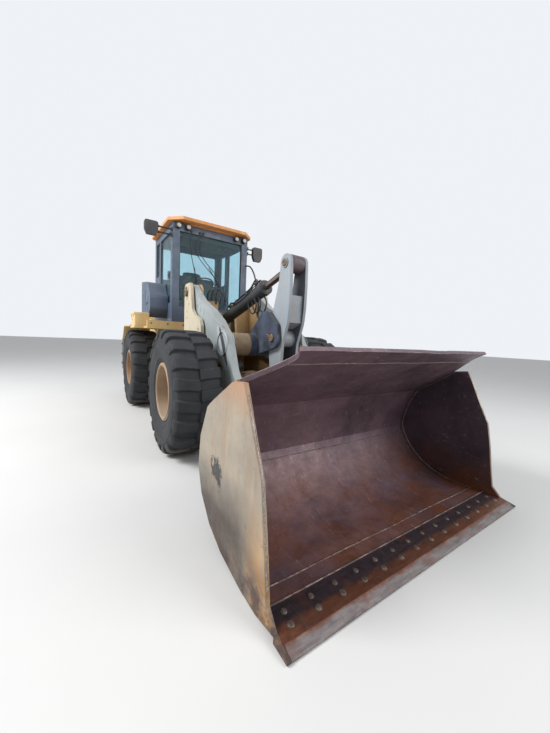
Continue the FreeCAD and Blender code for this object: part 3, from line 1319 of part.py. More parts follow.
cab_hinges, door_knuckles = door_hinges(
    "cab_hinge", door_rear + s.door_gap / 2, cab_half + s.hinge_out,
    (cab_rise(0.12), cab_rise(0.43), cab_rise(0.77)),
    (-60, -9, -s.hinge_out - 1, -s.hinge_out + 6), (9, 60, -s.hinge_out - 1, -s.hinge_out + 6))
node("cab_frame", fuse("cab_frame_hinged", [cut("cab_frame_cut", shell, cab_cuts)] + cab_hinges))

over = s.roof_overhang
roof_low = s.cab_top_z + s.seat_gap
roof_top = roof_low + s.roof_height


def roof_plan(inset, tail):
    """The roof's outline with its corners cut off."""
    front, back = cab_front + s.roof_visor - inset, cab_rear - tail + inset
    wide = cab_half + over - inset
    corner = s.roof_corner
    return (
        (front - corner, -wide), (front, -(wide - corner)), (front, wide - corner), (front - corner, wide),
        (back + corner / 2, wide), (back, wide - corner / 2), (back, -(wide - corner / 2)),
        (back + corner / 2, -wide),
    )


def roof_crown():
    """The raised middle of the roof, sloping down to the lip."""
    crown = add("Part::Loft", "roof_crown")
    crown.Sections = [place(plan_sketch("roof_crown_low", roof_plan(45, 60)), 0, 0, roof_top - 32),
                      place(plan_sketch("roof_crown_high", roof_plan(190, 60)), 0, 0, roof_top)]
    crown.Solid = True
    crown.Ruled = True
    return crown


roof_pan = plate_z("roof_pan", roof_plan(150, 20), roof_low, roof_top - 80)
roof_lip = plate_z("roof_lip_plate", roof_plan(0, 60), roof_top - 32 - s.roof_lip, roof_top - 32)
node("cab_roof", fuse("cab_roof_solid", [roof_pan, roof_lip, roof_crown()]))

g = s.seat_gap


def pane(name, x0, x1, y0, y1, z0, z1):
    return box(name, x0 + g, x1 - g, y0 + g, y1 - g, z0 + g, z1 - g)


mid_front = cab_front - cwall / 2
node("windscreen", box("windscreen_pane", mid_front - s.glass, mid_front, -(cab_half - pillar - g),
                       cab_half - pillar - g, low_sill + g, window_top - g))
panes = [
    box("rear_pane", cab_rear + cwall / 2, cab_rear + cwall / 2 + s.glass, -(cab_half - pillar - g),
        cab_half - pillar - g, high_sill + g, window_top - g),
    box("right_pane", door_rear + g, door_front - g, -(cab_half - cwall / 2), -(cab_half - cwall / 2 - s.glass),
        sill + g, window_top - g),
    box("left_quarter_pane", cab_rear + pillar + g, door_rear - 60 - g, cab_half - cwall / 2 - s.glass,
        cab_half - cwall / 2, high_sill + g, window_top - g),
    box("right_quarter_pane", cab_rear + pillar + g, door_rear - 60 - g, -(cab_half - cwall / 2),
        -(cab_half - cwall / 2 - s.glass), high_sill + g, window_top - g),
]
node("cab_glass", group("cab_glass_set", panes))

dg = s.door_gap
door_panel = box("door_panel", door_rear + dg, door_front - dg, cab_half - cwall, cab_half, door_low + dg,
                 door_top - dg)
# Windows of the door: name, inset from its ends, bottom and top
DOOR_WINDOWS = (
    ("door_window", 70, sill, window_top - 30),
    ("door_low_window", 120, cab_rise(0.114), cab_rise(0.195)),
)
door_cuts = [box(name, door_rear + dg + inset, door_front - dg - inset, cab_half - cwall - 10, cab_half + 10,
                 low, high) for name, inset, low, high in DOOR_WINDOWS]
node("cab_door", fuse("cab_door_hinged", [cut("cab_door_cut", door_panel, door_cuts)] + door_knuckles))
door_panes = [pane(name + "_pane", door_rear + dg + inset, door_front - dg - inset,
                   cab_half - cwall / 2 - s.glass, cab_half - cwall / 2, low, high)
              for name, inset, low, high in DOOR_WINDOWS]
node("door_glass", group("door_glass_set", door_panes))

seat_x = cab_rear + 330
inside_floor = cab_floor + cwall + g
seat_low, seat_high, seat_top = cab_rise(0.26), cab_rise(0.335), cab_rise(0.69)
node("operator_seat", fuse("seat_solid", [
    box("seat_base", seat_x - 160, seat_x + 200, -190, 190, inside_floor, seat_low),
    rounded(box("seat_cushion", seat_x - 230, seat_x + 290, -260, 260, seat_low, seat_high), (
        (seat_x + 290, -260, 70), (seat_x + 290, 260, 70)), "z"),
    rounded(box("seat_back", seat_x - 240, seat_x - 100, -250, 250, seat_high, seat_top), (
        (-250, seat_top, 110), (250, seat_top, 110)), "x"),
]))
column_x = cab_front - 330
wheel_z = cab_rise(0.5)
ring = turned("wheel_ring", [(190 + 14 * math.cos(math.radians(45 * i)), 14 * math.sin(math.radians(45 * i)))
                             for i in range(8)], (column_x - 110, wheel_z))
tilt = FreeCAD.Rotation(V(0, 1, 0), -28) * FreeCAD.Rotation(V(1, 0, 0), 90)
ring.Placement = FreeCAD.Placement(ring.Placement.Base, tilt)
column = box("column_post", column_x - 60, column_x + 60, -60, 60, inside_floor, wheel_z - 90)
hub = box("column_head", column_x - 130, column_x + 60, -75, 75, wheel_z - 140, wheel_z - 10)
spokes = box("wheel_spoke", column_x - 120, column_x - 100, -190, 190, wheel_z - 14, wheel_z + 10)
node("steering_console", fuse("steering_solid", [column, hub, ring, spokes]))


# Mirrors, lamps, side box

# Mirror heads as (side, inner y, width, bottom and top shares of the cab's height)
MIRRORS = ((1, 830, 200, 0.79, 0.94), (-1, 930, 210, 0.84, 0.965))
mirrors = []
for side, inner, width, low, high in MIRRORS:
    name = label_side(side)
    y0, y1 = between(side, inner, inner + width)
    low, high = cab_rise(low), cab_rise(high)
    head = plate_x("mirror_head_" + name, (
        (y0 + 35, low), (y1 - 35, low), (y1, low + 80), (y1, high), (y0, high), (y0, low + 80),
    ), cab_front - 60, cab_front + 10, ((y0, high, 35), (y1, high, 35), (y0, low + 80, 60), (y1, low + 80, 60)))
    y0, y1 = between(side, cab_half + g, inner + 30)
    arms = [cylinder_y("mirror_arm_%s_%d" % (name, i), (cab_front - 25, high - drop), 13, y0, y1)
            for i, drop in enumerate((60, 150))]
    mirrors.append(fuse("mirror_" + name, [head] + arms))
node("mirrors", group("mirror_set", mirrors))

lamp_radius = 45
lamps = []
for side in (1, -1):
    for which, y in (("inner", 450), ("outer", 610)):
        lamp = add("Part::Cylinder", "roof_lamp_%s_%s" % (which, label_side(side)))
        lamp.Radius = lamp_radius
        lamp.Height = 60
        place(lamp, cab_front + g, y * side, s.cab_top_z - lamp_radius - 5, V(0, 1, 0), 90)
        lamps.append(lamp)
node("work_lamps", group("work_lamp_set", lamps))

# Case on the cab's right side, its corners as (behind the front axle, share of the cab's height)
SIDE_CASE = ((2680, 0.14), (2030, 0.096), (1880, 0.18), (1880, 0.31), (2130, 0.455), (2680, 0.49))
case_outline = [(at_front(-back), cab_rise(share)) for back, share in SIDE_CASE]
node("side_box", plate_y("side_box_solid", case_outline, -(cab_half + s.case_depth), -(cab_half + g), (),
                         [case_outline[i] + (radius,) for i, radius in ((2, 60), (3, 90), (4, 120))]))


# Check every object, then write one file for each sub-part

doc.recompute()
bad = [o.Name for o in doc.Objects if "Invalid" in o.State or "Error" in o.State]
if bad:
    raise RuntimeError("failed: " + ", ".join(bad))
for obj in NODES:
    if obj.Shape.isNull() or not obj.Shape.isValid() or not obj.Shape.Solids:
        raise RuntimeError("bad shape: " + obj.Label)
os.makedirs("parts", exist_ok=True)
for obj in NODES:
    obj.Shape.exportStep("parts/%s.step" % obj.Label)
print(len(NODES), "sub-parts")
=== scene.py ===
import math
import random

import bmesh
import bpy
from mathutils import Matrix, Vector, noise
from mathutils.bvhtree import BVHTree

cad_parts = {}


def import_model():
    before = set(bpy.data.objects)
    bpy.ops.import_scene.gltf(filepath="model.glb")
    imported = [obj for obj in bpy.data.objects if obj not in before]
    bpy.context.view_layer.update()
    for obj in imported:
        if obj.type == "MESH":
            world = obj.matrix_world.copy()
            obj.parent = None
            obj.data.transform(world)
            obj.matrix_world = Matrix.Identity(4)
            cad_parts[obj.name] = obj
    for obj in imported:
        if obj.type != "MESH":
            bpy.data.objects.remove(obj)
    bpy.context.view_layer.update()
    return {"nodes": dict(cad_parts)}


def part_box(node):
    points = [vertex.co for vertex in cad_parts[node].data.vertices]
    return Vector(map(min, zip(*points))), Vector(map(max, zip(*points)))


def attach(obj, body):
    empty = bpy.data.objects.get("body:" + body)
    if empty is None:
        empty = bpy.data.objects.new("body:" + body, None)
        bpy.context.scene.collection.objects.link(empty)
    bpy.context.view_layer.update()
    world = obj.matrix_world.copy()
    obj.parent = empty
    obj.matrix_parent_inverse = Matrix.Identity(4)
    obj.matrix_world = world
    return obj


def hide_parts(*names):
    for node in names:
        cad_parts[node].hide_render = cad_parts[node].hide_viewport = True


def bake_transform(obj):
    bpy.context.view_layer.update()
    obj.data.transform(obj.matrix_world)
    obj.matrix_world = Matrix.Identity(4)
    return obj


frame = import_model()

SCENE = bpy.context.scene
FULL_TURN = 2 * math.pi
UP = (0, 0, 1)
SIDES = (1, -1)


# Places read from the frame

def middle(node):
    low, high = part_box(node)
    return (low + high) / 2


def node_low(node):
    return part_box(node)[0]


def node_high(node):
    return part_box(node)[1]


# Materials: a small builder for node trees

def rgb(red, green, blue):
    """A colour given in screen values from 0 to 255, as a linear RGBA colour."""
    def linear(value):
        share = value / 255
        return share / 12.92 if share <= 0.04045 else ((share + 0.055) / 1.055) ** 2.4
    return (linear(red), linear(green), linear(blue), 1.0)


def add_node(tree, kind, inputs, **settings):
    """A shader node whose inputs are linked to sockets or set to values."""
    made = tree.nodes.new(kind)
    for key, value in settings.items():
        setattr(made, key, value)
    for key, value in inputs.items():
        if isinstance(value, bpy.types.NodeSocket):
            tree.links.new(value, made.inputs[key])
        else:
            made.inputs[key].default_value = value
    return made


class Look:
    """A material whose nodes are added one at a time."""

    def __init__(self, name, roughness=0.5, metallic=0.0):
        self.material = bpy.data.materials.new(name)
        self.material.use_nodes = True
        self.tree = self.material.node_tree
        self.shader = self.tree.nodes["Principled BSDF"]
        self.set("Roughness", roughness)
        self.set("Metallic", metallic)
        coordinates = self.tree.nodes.new("ShaderNodeTexCoord")
        self.place = coordinates.outputs["Object"]
        self.facing = coordinates.outputs["Normal"]

    def node(self, kind, inputs, **settings):
        return add_node(self.tree, kind, inputs, **settings)

    def maths(self, operation, *values, clamp=False):
        return self.node("ShaderNodeMath", dict(enumerate(values)), operation=operation,
                         use_clamp=clamp).outputs[0]

    def times(self, first, second):
        return self.maths("MULTIPLY", first, second, clamp=True)

    def larger(self, first, second):
        return self.maths("MAXIMUM", first, second, clamp=True)

    def vector(self, operation, first, second):
        """Vector maths: a number for a dot product or a distance, else a vector."""
        made = self.node("ShaderNodeVectorMath", {0: first, 1: second}, operation=operation)
        return made.outputs["Value" if operation in ("DOT_PRODUCT", "DISTANCE") else "Vector"]

    def stretched(self, x, y, z):
        """Object coordinates scaled by a different number on each axis."""
        return self.vector("MULTIPLY", self.place, (x, y, z))

    def part(self, vector, axis):
        return self.node("ShaderNodeSeparateXYZ", {0: vector}).outputs[axis]

    def axis(self, number):
        """One of the place's coordinates."""
        return self.part(self.place, number)

    def noise(self, scale, detail=4.0, roughness=0.55, distortion=0.0, place=None):
        return self.node("ShaderNodeTexNoise", {
            "Vector": place or self.place, "Scale": scale, "Detail": detail,
            "Roughness": roughness, "Distortion": distortion}).outputs["Fac"]

    def bands(self, scale, direction):
        return self.node("ShaderNodeTexWave", {"Vector": self.place, "Scale": scale},
                         bands_direction=direction).outputs["Fac"]

    def spread(self, value, low, high, out_low=0.0, out_high=1.0):
        """Map a range to another, held at its ends."""
        return self.node("ShaderNodeMapRange", {
            "Value": value, "From Min": low, "From Max": high,
            "To Min": out_low, "To Max": out_high}).outputs[0]

    def clouds(self, low, high, *settings, out=(0.0, 1.0)):
        """A range of the noise with these settings, mapped to another."""
        return self.spread(self.noise(*settings), low, high, *out)

    def streaks(self, scales, low, high, detail, roughness, distortion=0.0):
        """A range of noise that is scaled by a different number on each axis."""
        return self.spread(self.noise(1.0, detail, roughness, distortion, self.stretched(*scales)), low, high)

    def mix(self, share, first, second, strength=None):
        """Two colours mixed by a share, which a strength may reduce."""
        if strength is not None:
            share = self.times(share, strength)
        return self.node("ShaderNodeMix", {0: share, 6: first, 7: second}, data_type="RGBA").outputs[2]

    def rounded(self, radius):
        """Normals that round the solid's sharp edges."""
        return self.node("ShaderNodeBevel", {"Radius": radius}, samples=4).outputs[0]

    def worn_edges(self, radius, low=0.03, high=0.25):
        """Share of wear: high where the surface turns sharply, broken up by noise."""
        true = self.node("ShaderNodeNewGeometry", {}).outputs["Normal"]
        sharp = self.maths("SUBTRACT", 1.0, self.vector("DOT_PRODUCT", self.rounded(radius), true))
        return self.times(self.spread(sharp, low, high), self.clouds(0.42, 0.62, 14.0, 6.0, 0.7))

    def set(self, socket, value):
        if isinstance(value, bpy.types.NodeSocket):
            self.tree.links.new(value, self.shader.inputs[socket])
        else:
            self.shader.inputs[socket].default_value = value

    def bump(self, height, strength, distance, under=None):
        inputs = {"Height": height, "Strength": strength, "Distance": distance}
        if under:
            inputs["Normal"] = under
        return self.node("ShaderNodeBump", inputs).outputs[0]


RUST = rgb(112, 62, 36)
DARK_RUST = rgb(66, 42, 34)
BARE_STEEL = rgb(128, 122, 116)
DUST = rgb(170, 158, 140)
GREASE = rgb(28, 26, 25)
# Outer face of the lift arms, as a distance from the middle plane, and the direction of the dark slot of
# painted shadow on it
ARM_FACE = 0.595
SHADOW_SLOT_ALONG = (0.488, -0.873)


def painted(name, colour, faded, wear=0.6, dust=0.35, rust=0.4, roughness=0.5, grime=0.35, zones=None):
    """Weathered machine paint: fading, streaks, dust on top faces, chips and worn edges."""
    look = Look(name, roughness)
    base = look.mix(look.clouds(0.35, 0.68, 1.3, 3.0), colour, faded)
    fine = look.clouds(0.3, 0.75, 38.0, 5.0, 0.7)
    base = look.mix(fine, base, look.mix(0.5, faded, DUST), 0.16)
    if zones:
        base = zones(look, base)
    streaks = look.streaks((9.0, 9.0, 0.9), 0.52, 0.75, 5.0, 0.65, 0.4)
    base = look.mix(streaks, base, look.mix(0.45, colour, GREASE), grime)
    up = look.part(look.facing, 2)
    settled = look.times(look.spread(up, 0.45, 0.95), look.clouds(0.3, 0.6, 5.0, 6.0))
    base = look.mix(settled, base, DUST, dust)
    spots = look.clouds(0.64, 0.68, 23.0, 8.0, 0.72)
    patch = look.clouds(0.46, 0.6, 2.1, 2.0)
    chips = look.times(look.times(spots, patch), wear)
    edges = look.times(look.worn_edges(0.006), wear)
    bare = look.larger(chips, edges)
    rusty = look.mix(look.clouds(0.35, 0.65, 30.0, 4.0), RUST, DARK_RUST)
    under = look.mix(rust, BARE_STEEL, rusty)
    look.set("Base Color", look.mix(bare, base, under))
    look.set("Roughness", look.clouds(0.3, 0.7, 17.0, 5.0, out=(roughness - 0.1, roughness + 0.22)))
    peel = look.maths("SUBTRACT", look.noise(160.0, 2.0), look.times(bare, 0.6))
    look.set("Normal", look.bump(peel, 0.25, 0.0012, look.rounded(0.003)))
    return look.material


def off_middle(look):
    """Distance from the machine's middle plane."""
    return look.maths("ABSOLUTE", look.axis(1))


def inward(look):
    """1 on faces that look towards the middle plane."""
    side = look.maths("SIGN", look.axis(1))
    return look.spread(look.maths("MULTIPLY", look.part(look.facing, 1), side), -0.9, -0.4, 1.0, 0.0)


def near(look, centre, inner, outer):
    """1 within an inner distance of a place, fading to 0 at an outer one."""
    return look.spread(look.vector("DISTANCE", look.place, centre), inner, outer, 1.0, 0.0)


def oval(look, centre, along, half_length, half_width, bend=0.0):
    """1 inside an oval on a side face: centre and direction as (x, z), bent like a crescent."""
    place = look.vector("SUBTRACT", look.place, (centre[0], 0.0, centre[1]))
    lengthwise = look.vector("DOT_PRODUCT", place, (along[0] / half_length, 0.0, along[1] / half_length))
    across = look.vector("DOT_PRODUCT", place, (-along[1] / half_width, 0.0, along[0] / half_width))
    square = look.maths("MULTIPLY", lengthwise, lengthwise)
    across = look.maths("MULTIPLY_ADD", square, bend * half_length ** 2 / half_width, across)
    return look.spread(look.maths("MULTIPLY_ADD", across, across, square), 0.85, 1.1, 1.0, 0.0)


def arm_zones(look, base):
    """Tan cross tube; painted shade on the ears in the middle and on the faces towards the middle plane; on the
    right arm's outer face, dark blue scuffs by the heel that are partly painted shadow, a dark slot of painted
    shadow with a pale painted highlight strip round it, and an orange patch.
    """
    tan = look.mix(look.clouds(0.35, 0.65, 5.0, 6.0), rgb(150, 130, 104), rgb(112, 92, 72))
    base = look.mix(look.spread(off_middle(look), 0.498, 0.503, 1.0, 0.0), base, tan)
    # Painted shade: the ears in the middle are darkened blue-black where shade falls between the arms.
    dark = look.mix(look.clouds(0.35, 0.65, 7.0, 6.0), rgb(62, 72, 92), rgb(40, 44, 54))
    base = look.mix(look.spread(off_middle(look), 0.27, 0.28, 1.0, 0.0), base, dark)
    # Dark blue scuffs near the right arm's heel by the tower: partly rubbed paint, partly painted shadow.
    scuffs = look.streaks((16.0, 16.0, 5.0), 0.55, 0.6, 7.0, 0.72, 0.4)
    far = look.vector("DISTANCE", look.place, (0.36, -0.6, 1.86))
    base = look.mix(scuffs, base, rgb(52, 66, 86), look.spread(far, 0.22, 0.42, 0.85, 0.0))
    # Painted shadow and painted highlight: a dark crescent of painted shadow on the right arm's solid outer
    # face, with a pale painted highlight strip round it.
    right = look.spread(look.axis(1), 0.001 - ARM_FACE, 0.003 - ARM_FACE, 1.0, 0.0)
    slot = look.times(right, oval(look, (1.30, 1.32), SHADOW_SLOT_ALONG, 0.27, 0.042, 0.15))
    painted_highlight_strip = look.times(right, oval(look, (1.27, 1.30), SHADOW_SLOT_ALONG, 0.30, 0.075, 0.15))
    base = look.mix(painted_highlight_strip, base, rgb(196, 204, 208), 0.6)
    base = look.mix(slot, base, rgb(34, 36, 42), 0.9)
    patch = look.times(right, oval(look, (1.67, 1.17), (0.1, -0.995), 0.075, 0.030))
    base = look.mix(patch, base, rgb(206, 150, 66), 0.85)
    # Painted shade on the faces that look towards the middle plane.
    return look.mix(inward(look), base, rgb(58, 60, 66), 0.6)


def crank_zones(look, base):
    """Warm stains on the outer faces and painted shade on the faces inside, between the plates."""
    stain = look.streaks((14.0, 14.0, 1.6), 0.48, 0.7, 6.0, 0.65, 0.5)
    base = look.mix(stain, base, rgb(158, 132, 110), 0.35)
    # Painted shade on the faces that look towards the middle plane, between the plates.
    return look.mix(inward(look), base, rgb(58, 60, 72), 0.8)


def tower_zones(look, base):
    """Paler outer plates as painted sunlight, and painted shade in darker brown on the faces between them."""
    # Painted sunlight: the outer plates are made paler where sun falls on them.
    painted_sunlight = look.mix(look.clouds(0.35, 0.65, 3.0, 5.0), rgb(200, 192, 174), rgb(194, 180, 152))
    base = look.mix(look.spread(off_middle(look), 0.61, 0.617), base, painted_sunlight)
    # Painted shade on the faces that look towards the middle plane.
    return look.mix(inward(look), base, rgb(96, 78, 58), 0.45)


FRAME_PAINT = painted("frame_paint", rgb(205, 164, 96), rgb(222, 198, 148), wear=0.7, dust=0.4)
TOWER_PAINT = painted(
    "tower_paint", rgb(176, 142, 92), rgb(196, 168, 122), wear=0.7, dust=0.3, zones=tower_zones)
ARM_PAINT = painted(
    "arm_paint", rgb(142, 151, 152), rgb(164, 172, 174), wear=0.75, dust=0.3, rust=0.5, zones=arm_zones)
CRANK_PAINT = painted(
    "crank_paint", rgb(132, 143, 152), rgb(152, 162, 170), wear=0.9, dust=0.3, rust=0.7, zones=crank_zones)
HOOD_PAINT = painted("hood_paint", rgb(212, 168, 92), rgb(226, 196, 134), wear=0.45, dust=0.35, roughness=0.42)
# Dark cab paint, shifted bluer to stand in for the sky's reflection: partly painted reflection.
CAB_PAINT = painted(
    "cab_paint", rgb(58, 72, 92), rgb(82, 98, 120), wear=0.3, dust=0.25, roughness=0.42, grime=0.2)
ROOF_PAINT = painted("roof_paint", rgb(212, 134, 62), rgb(222, 158, 96), wear=0.15, dust=0.45, roughness=0.45)
RIM_PAINT = painted("rim_paint", rgb(158, 122, 88), rgb(170, 150, 128), wear=0.9, dust=0.5, rust=0.85)
AXLE_PAINT = painted(
    "axle_paint", rgb(150, 118, 70), rgb(120, 102, 76), wear=0.6, dust=0.55, rust=0.6, grime=0.6)
DARK_PAINT = painted("cylinder_dark", rgb(38, 42, 46), rgb(58, 62, 66), wear=0.35, dust=0.4, roughness=0.45)
EYE_PAINT = painted("eye_paint", rgb(70, 58, 68), rgb(88, 74, 80), wear=0.4, dust=0.2, roughness=0.5)
GRILLE_PAINT = painted("grille_paint", rgb(42, 43, 45), rgb(60, 61, 62), wear=0.4, dust=0.4)
CAST_PAINT = painted("weight_paint", rgb(60, 60, 60), rgb(84, 82, 78), wear=0.55, dust=0.5, rust=0.6)


def bare_steel(name, colour, dark, roughness, rust):
    """Rubbed steel with fine scratches and rust in patches."""
    look = Look(name, roughness, 0.75)
    lines = look.streaks((12.0, 90.0, 90.0), 0.3, 0.7, 6.0, 0.6)
    base = look.mix(lines, colour, dark)
    stain = look.times(look.clouds(0.5, 0.62, 6.0, 6.0, 0.65), rust)
    look.set("Base Color", look.mix(stain, base, RUST))
    look.set("Roughness", look.clouds(0.3, 0.7, 28.0, 5.0, out=(roughness - 0.08, roughness + 0.25)))
    look.set("Normal", look.bump(lines, 0.12, 0.0008, look.rounded(0.002)))
    return look.material


# Where along the machine the edge's rust band and its grey lip begin, with the noise's mean added
EDGE_BOLTED, EDGE_LIP = 3.545, 3.640


def edge_plate():
    """The cutting edge: dark where it is bolted, a rust band, then a rubbed grey lip."""
    look = Look("edge_steel", 0.5, 0.6)
    ahead = look.axis(0)
    lines = look.streaks((40.0, 6.0, 40.0), 0.3, 0.7, 6.0, 0.6)
    ragged = look.maths("MULTIPLY_ADD", look.noise(9.0, 6.0, 0.7), 0.06, ahead)
    base = look.mix(lines, rgb(72, 58, 64), rgb(48, 40, 44))
    rusty = look.mix(lines, rgb(122, 76, 54), rgb(84, 54, 44))
    base = look.mix(look.spread(ragged, EDGE_BOLTED, EDGE_BOLTED + 0.03), base, rusty)
    lip = look.mix(lines, rgb(134, 126, 124), rgb(92, 84, 84))
    base = look.mix(look.spread(ragged, EDGE_LIP, EDGE_LIP + 0.02), base, lip)
    stain = look.clouds(0.52, 0.64, 6.0, 6.0, 0.65, out=(0.0, 0.35))
    look.set("Base Color", look.mix(stain, base, RUST))
    look.set("Roughness", look.clouds(0.3, 0.7, 28.0, 5.0, out=(0.42, 0.72)))
    look.set("Normal", look.bump(lines, 0.12, 0.0008, look.rounded(0.002)))
    return look.material


PIN_STEEL = bare_steel("pin_steel", rgb(150, 128, 104), rgb(92, 78, 66), 0.45, 0.7)
EDGE_STEEL = edge_plate()
BOLT_STEEL = bare_steel("bolt_steel", rgb(140, 132, 122), rgb(96, 86, 76), 0.4, 0.5)
EXHAUST_STEEL = bare_steel("exhaust_steel", rgb(104, 84, 66), rgb(66, 54, 48), 0.6, 0.8)
ZINC_FITTING = bare_steel("fitting_zinc", rgb(176, 160, 120), rgb(128, 116, 92), 0.38, 0.15)
LINE_STEEL = bare_steel("line_steel", rgb(70, 72, 78), rgb(44, 46, 50), 0.35, 0.2)
WELD_STEEL = bare_steel("weld_steel", rgb(138, 122, 118), rgb(104, 88, 84), 0.5, 0.3)
RUBBED_STEEL = bare_steel("rubbed_steel", rgb(186, 174, 162), rgb(132, 112, 100), 0.4, 0.35)


def chrome():
    look = Look("rod_chrome", 0.12, 1.0)
    marks = look.streaks((4.0, 60.0, 60.0), 0.45, 0.75, 5.0, 0.6)
    look.set("Base Color", look.mix(marks, rgb(204, 206, 210), rgb(150, 150, 150)))
    look.set("Roughness", look.spread(marks, 0.0, 1.0, 0.1, 0.28))
    return look.material


ROD_CHROME = chrome()


def rubber(name, colour, dusty, dust_share):
    """Tyre rubber: grey dust in clouds and low down, pale scuffs, fine grain and cracks."""
    look = Look(name, 0.8)
    cloud = look.clouds(0.35, 0.7, 3.5, 6.0, 0.65)
    base = look.mix(cloud, colour, dusty, dust_share)
    grain = look.noise(120.0, 4.0, 0.7)
    base = look.mix(look.spread(grain, 0.5, 0.75), base, dusty, 0.25)
    scuffs = look.streaks((26.0, 5.0, 26.0), 0.62, 0.75, 6.0, 0.7, 0.5)
    base = look.mix(scuffs, base, rgb(120, 114, 106), 0.4)
    low = look.spread(look.axis(2), 0.0, 0.22, 0.55, 0.0)
    base = look.mix(low, base, DUST, cloud)
    look.set("Base Color", base)
    look.set("Roughness", look.spread(grain, 0.3, 0.7, 0.68, 0.92))
    look.set("Normal", look.bump(look.noise(70.0, 7.0, 0.75), 0.35, 0.003, look.rounded(0.006)))
    return look.material


TYRE_RUBBER = rubber("tyre_rubber", rgb(29, 31, 35), rgb(64, 65, 68), 0.45)
HOSE_RUBBER = rubber("hose_rubber", rgb(26, 27, 29), rgb(62, 60, 58), 0.35)


def plastic(name, colour, roughness=0.6, grain=220.0):
    look = Look(name, roughness)
    base = look.mix(look.clouds(0.4, 0.7, 4.0, 5.0, out=(0.0, 0.5)), colour, DUST)
    look.set("Base Color", look.mix(0.75, base, colour))
    look.set("Normal", look.bump(look.noise(grain, 2.0), 0.3, 0.0008, look.rounded(0.003)))
    return look.material


TRIM_PLASTIC = plastic("trim_plastic", rgb(34, 36, 40))
MIRROR_SHELL = plastic("mirror_shell", rgb(30, 32, 36), 0.45)
SEAL_RUBBER = plastic("seal_rubber", rgb(20, 21, 23), 0.7, 90.0)
LINING = plastic("cab_lining", rgb(48, 50, 54), 0.85, 160.0)


def glass(name, colour, share):
    """Tinted glass with a thin film of dust."""
    look = Look(name, 0.04)
    film = look.clouds(0.4, 0.75, 2.6, 6.0, 0.65, out=(0.02, 0.3))
    look.set("Base Color", look.mix(film, colour, rgb(200, 205, 205)))
    look.set("Transmission Weight", share)
    look.set("IOR", 1.05)
    look.set("Roughness", look.spread(film, 0.0, 0.3, 0.02, 0.2))
    return look.material


# The pale cyan tint stands in for the sky's reflection: painted reflection.
SKY_TINTED_GLASS = glass("cab_glass", rgb(212, 238, 246), 0.95)


def mirror_glass():
    look = Look("mirror_glass", 0.05, 1.0)
    film = look.clouds(0.4, 0.7, 6.0, 5.0)
    look.set("Base Color", look.mix(film, rgb(200, 210, 218), rgb(160, 168, 172)))
    look.set("Roughness", look.spread(film, 0.0, 1.0, 0.03, 0.2))
    return look.material


MIRROR_GLASS = mirror_glass()


def lamp_colour(name, colour):
    look = Look(name, 0.18)
    ribs = look.bands(60.0, "Y")
    look.set("Base Color", look.mix(ribs, colour, look.mix(0.6, colour, rgb(20, 10, 8))))
    look.set("Normal", look.bump(ribs, 0.3, 0.001))
    return look.material


RED_LENS = lamp_colour("red_lens", rgb(176, 24, 20))
AMBER_LENS = lamp_colour("amber_lens", rgb(226, 128, 24))
CLEAR_LENS = lamp_colour("clear_lens", rgb(226, 226, 218))


def seat_fabric():
    look = Look("seat_fabric", 0.9)
    weave = look.times(look.bands(210.0, "Y"), look.bands(210.0, "X"))
    base = look.mix(weave, rgb(30, 33, 38), rgb(58, 62, 68))
    look.set("Base Color", look.mix(look.clouds(0.45, 0.75, 5.0, 5.0, out=(0.0, 0.35)), base, DUST))
    look.set("Normal", look.bump(weave, 0.5, 0.001))
    look.set("Sheen Weight", 0.3)
    return look.material


SEAT_FABRIC = seat_fabric()


# Middle of the patch on the bucket's right side where the paint has peeled
PEELED = (2.82, -1.24, 0.55)


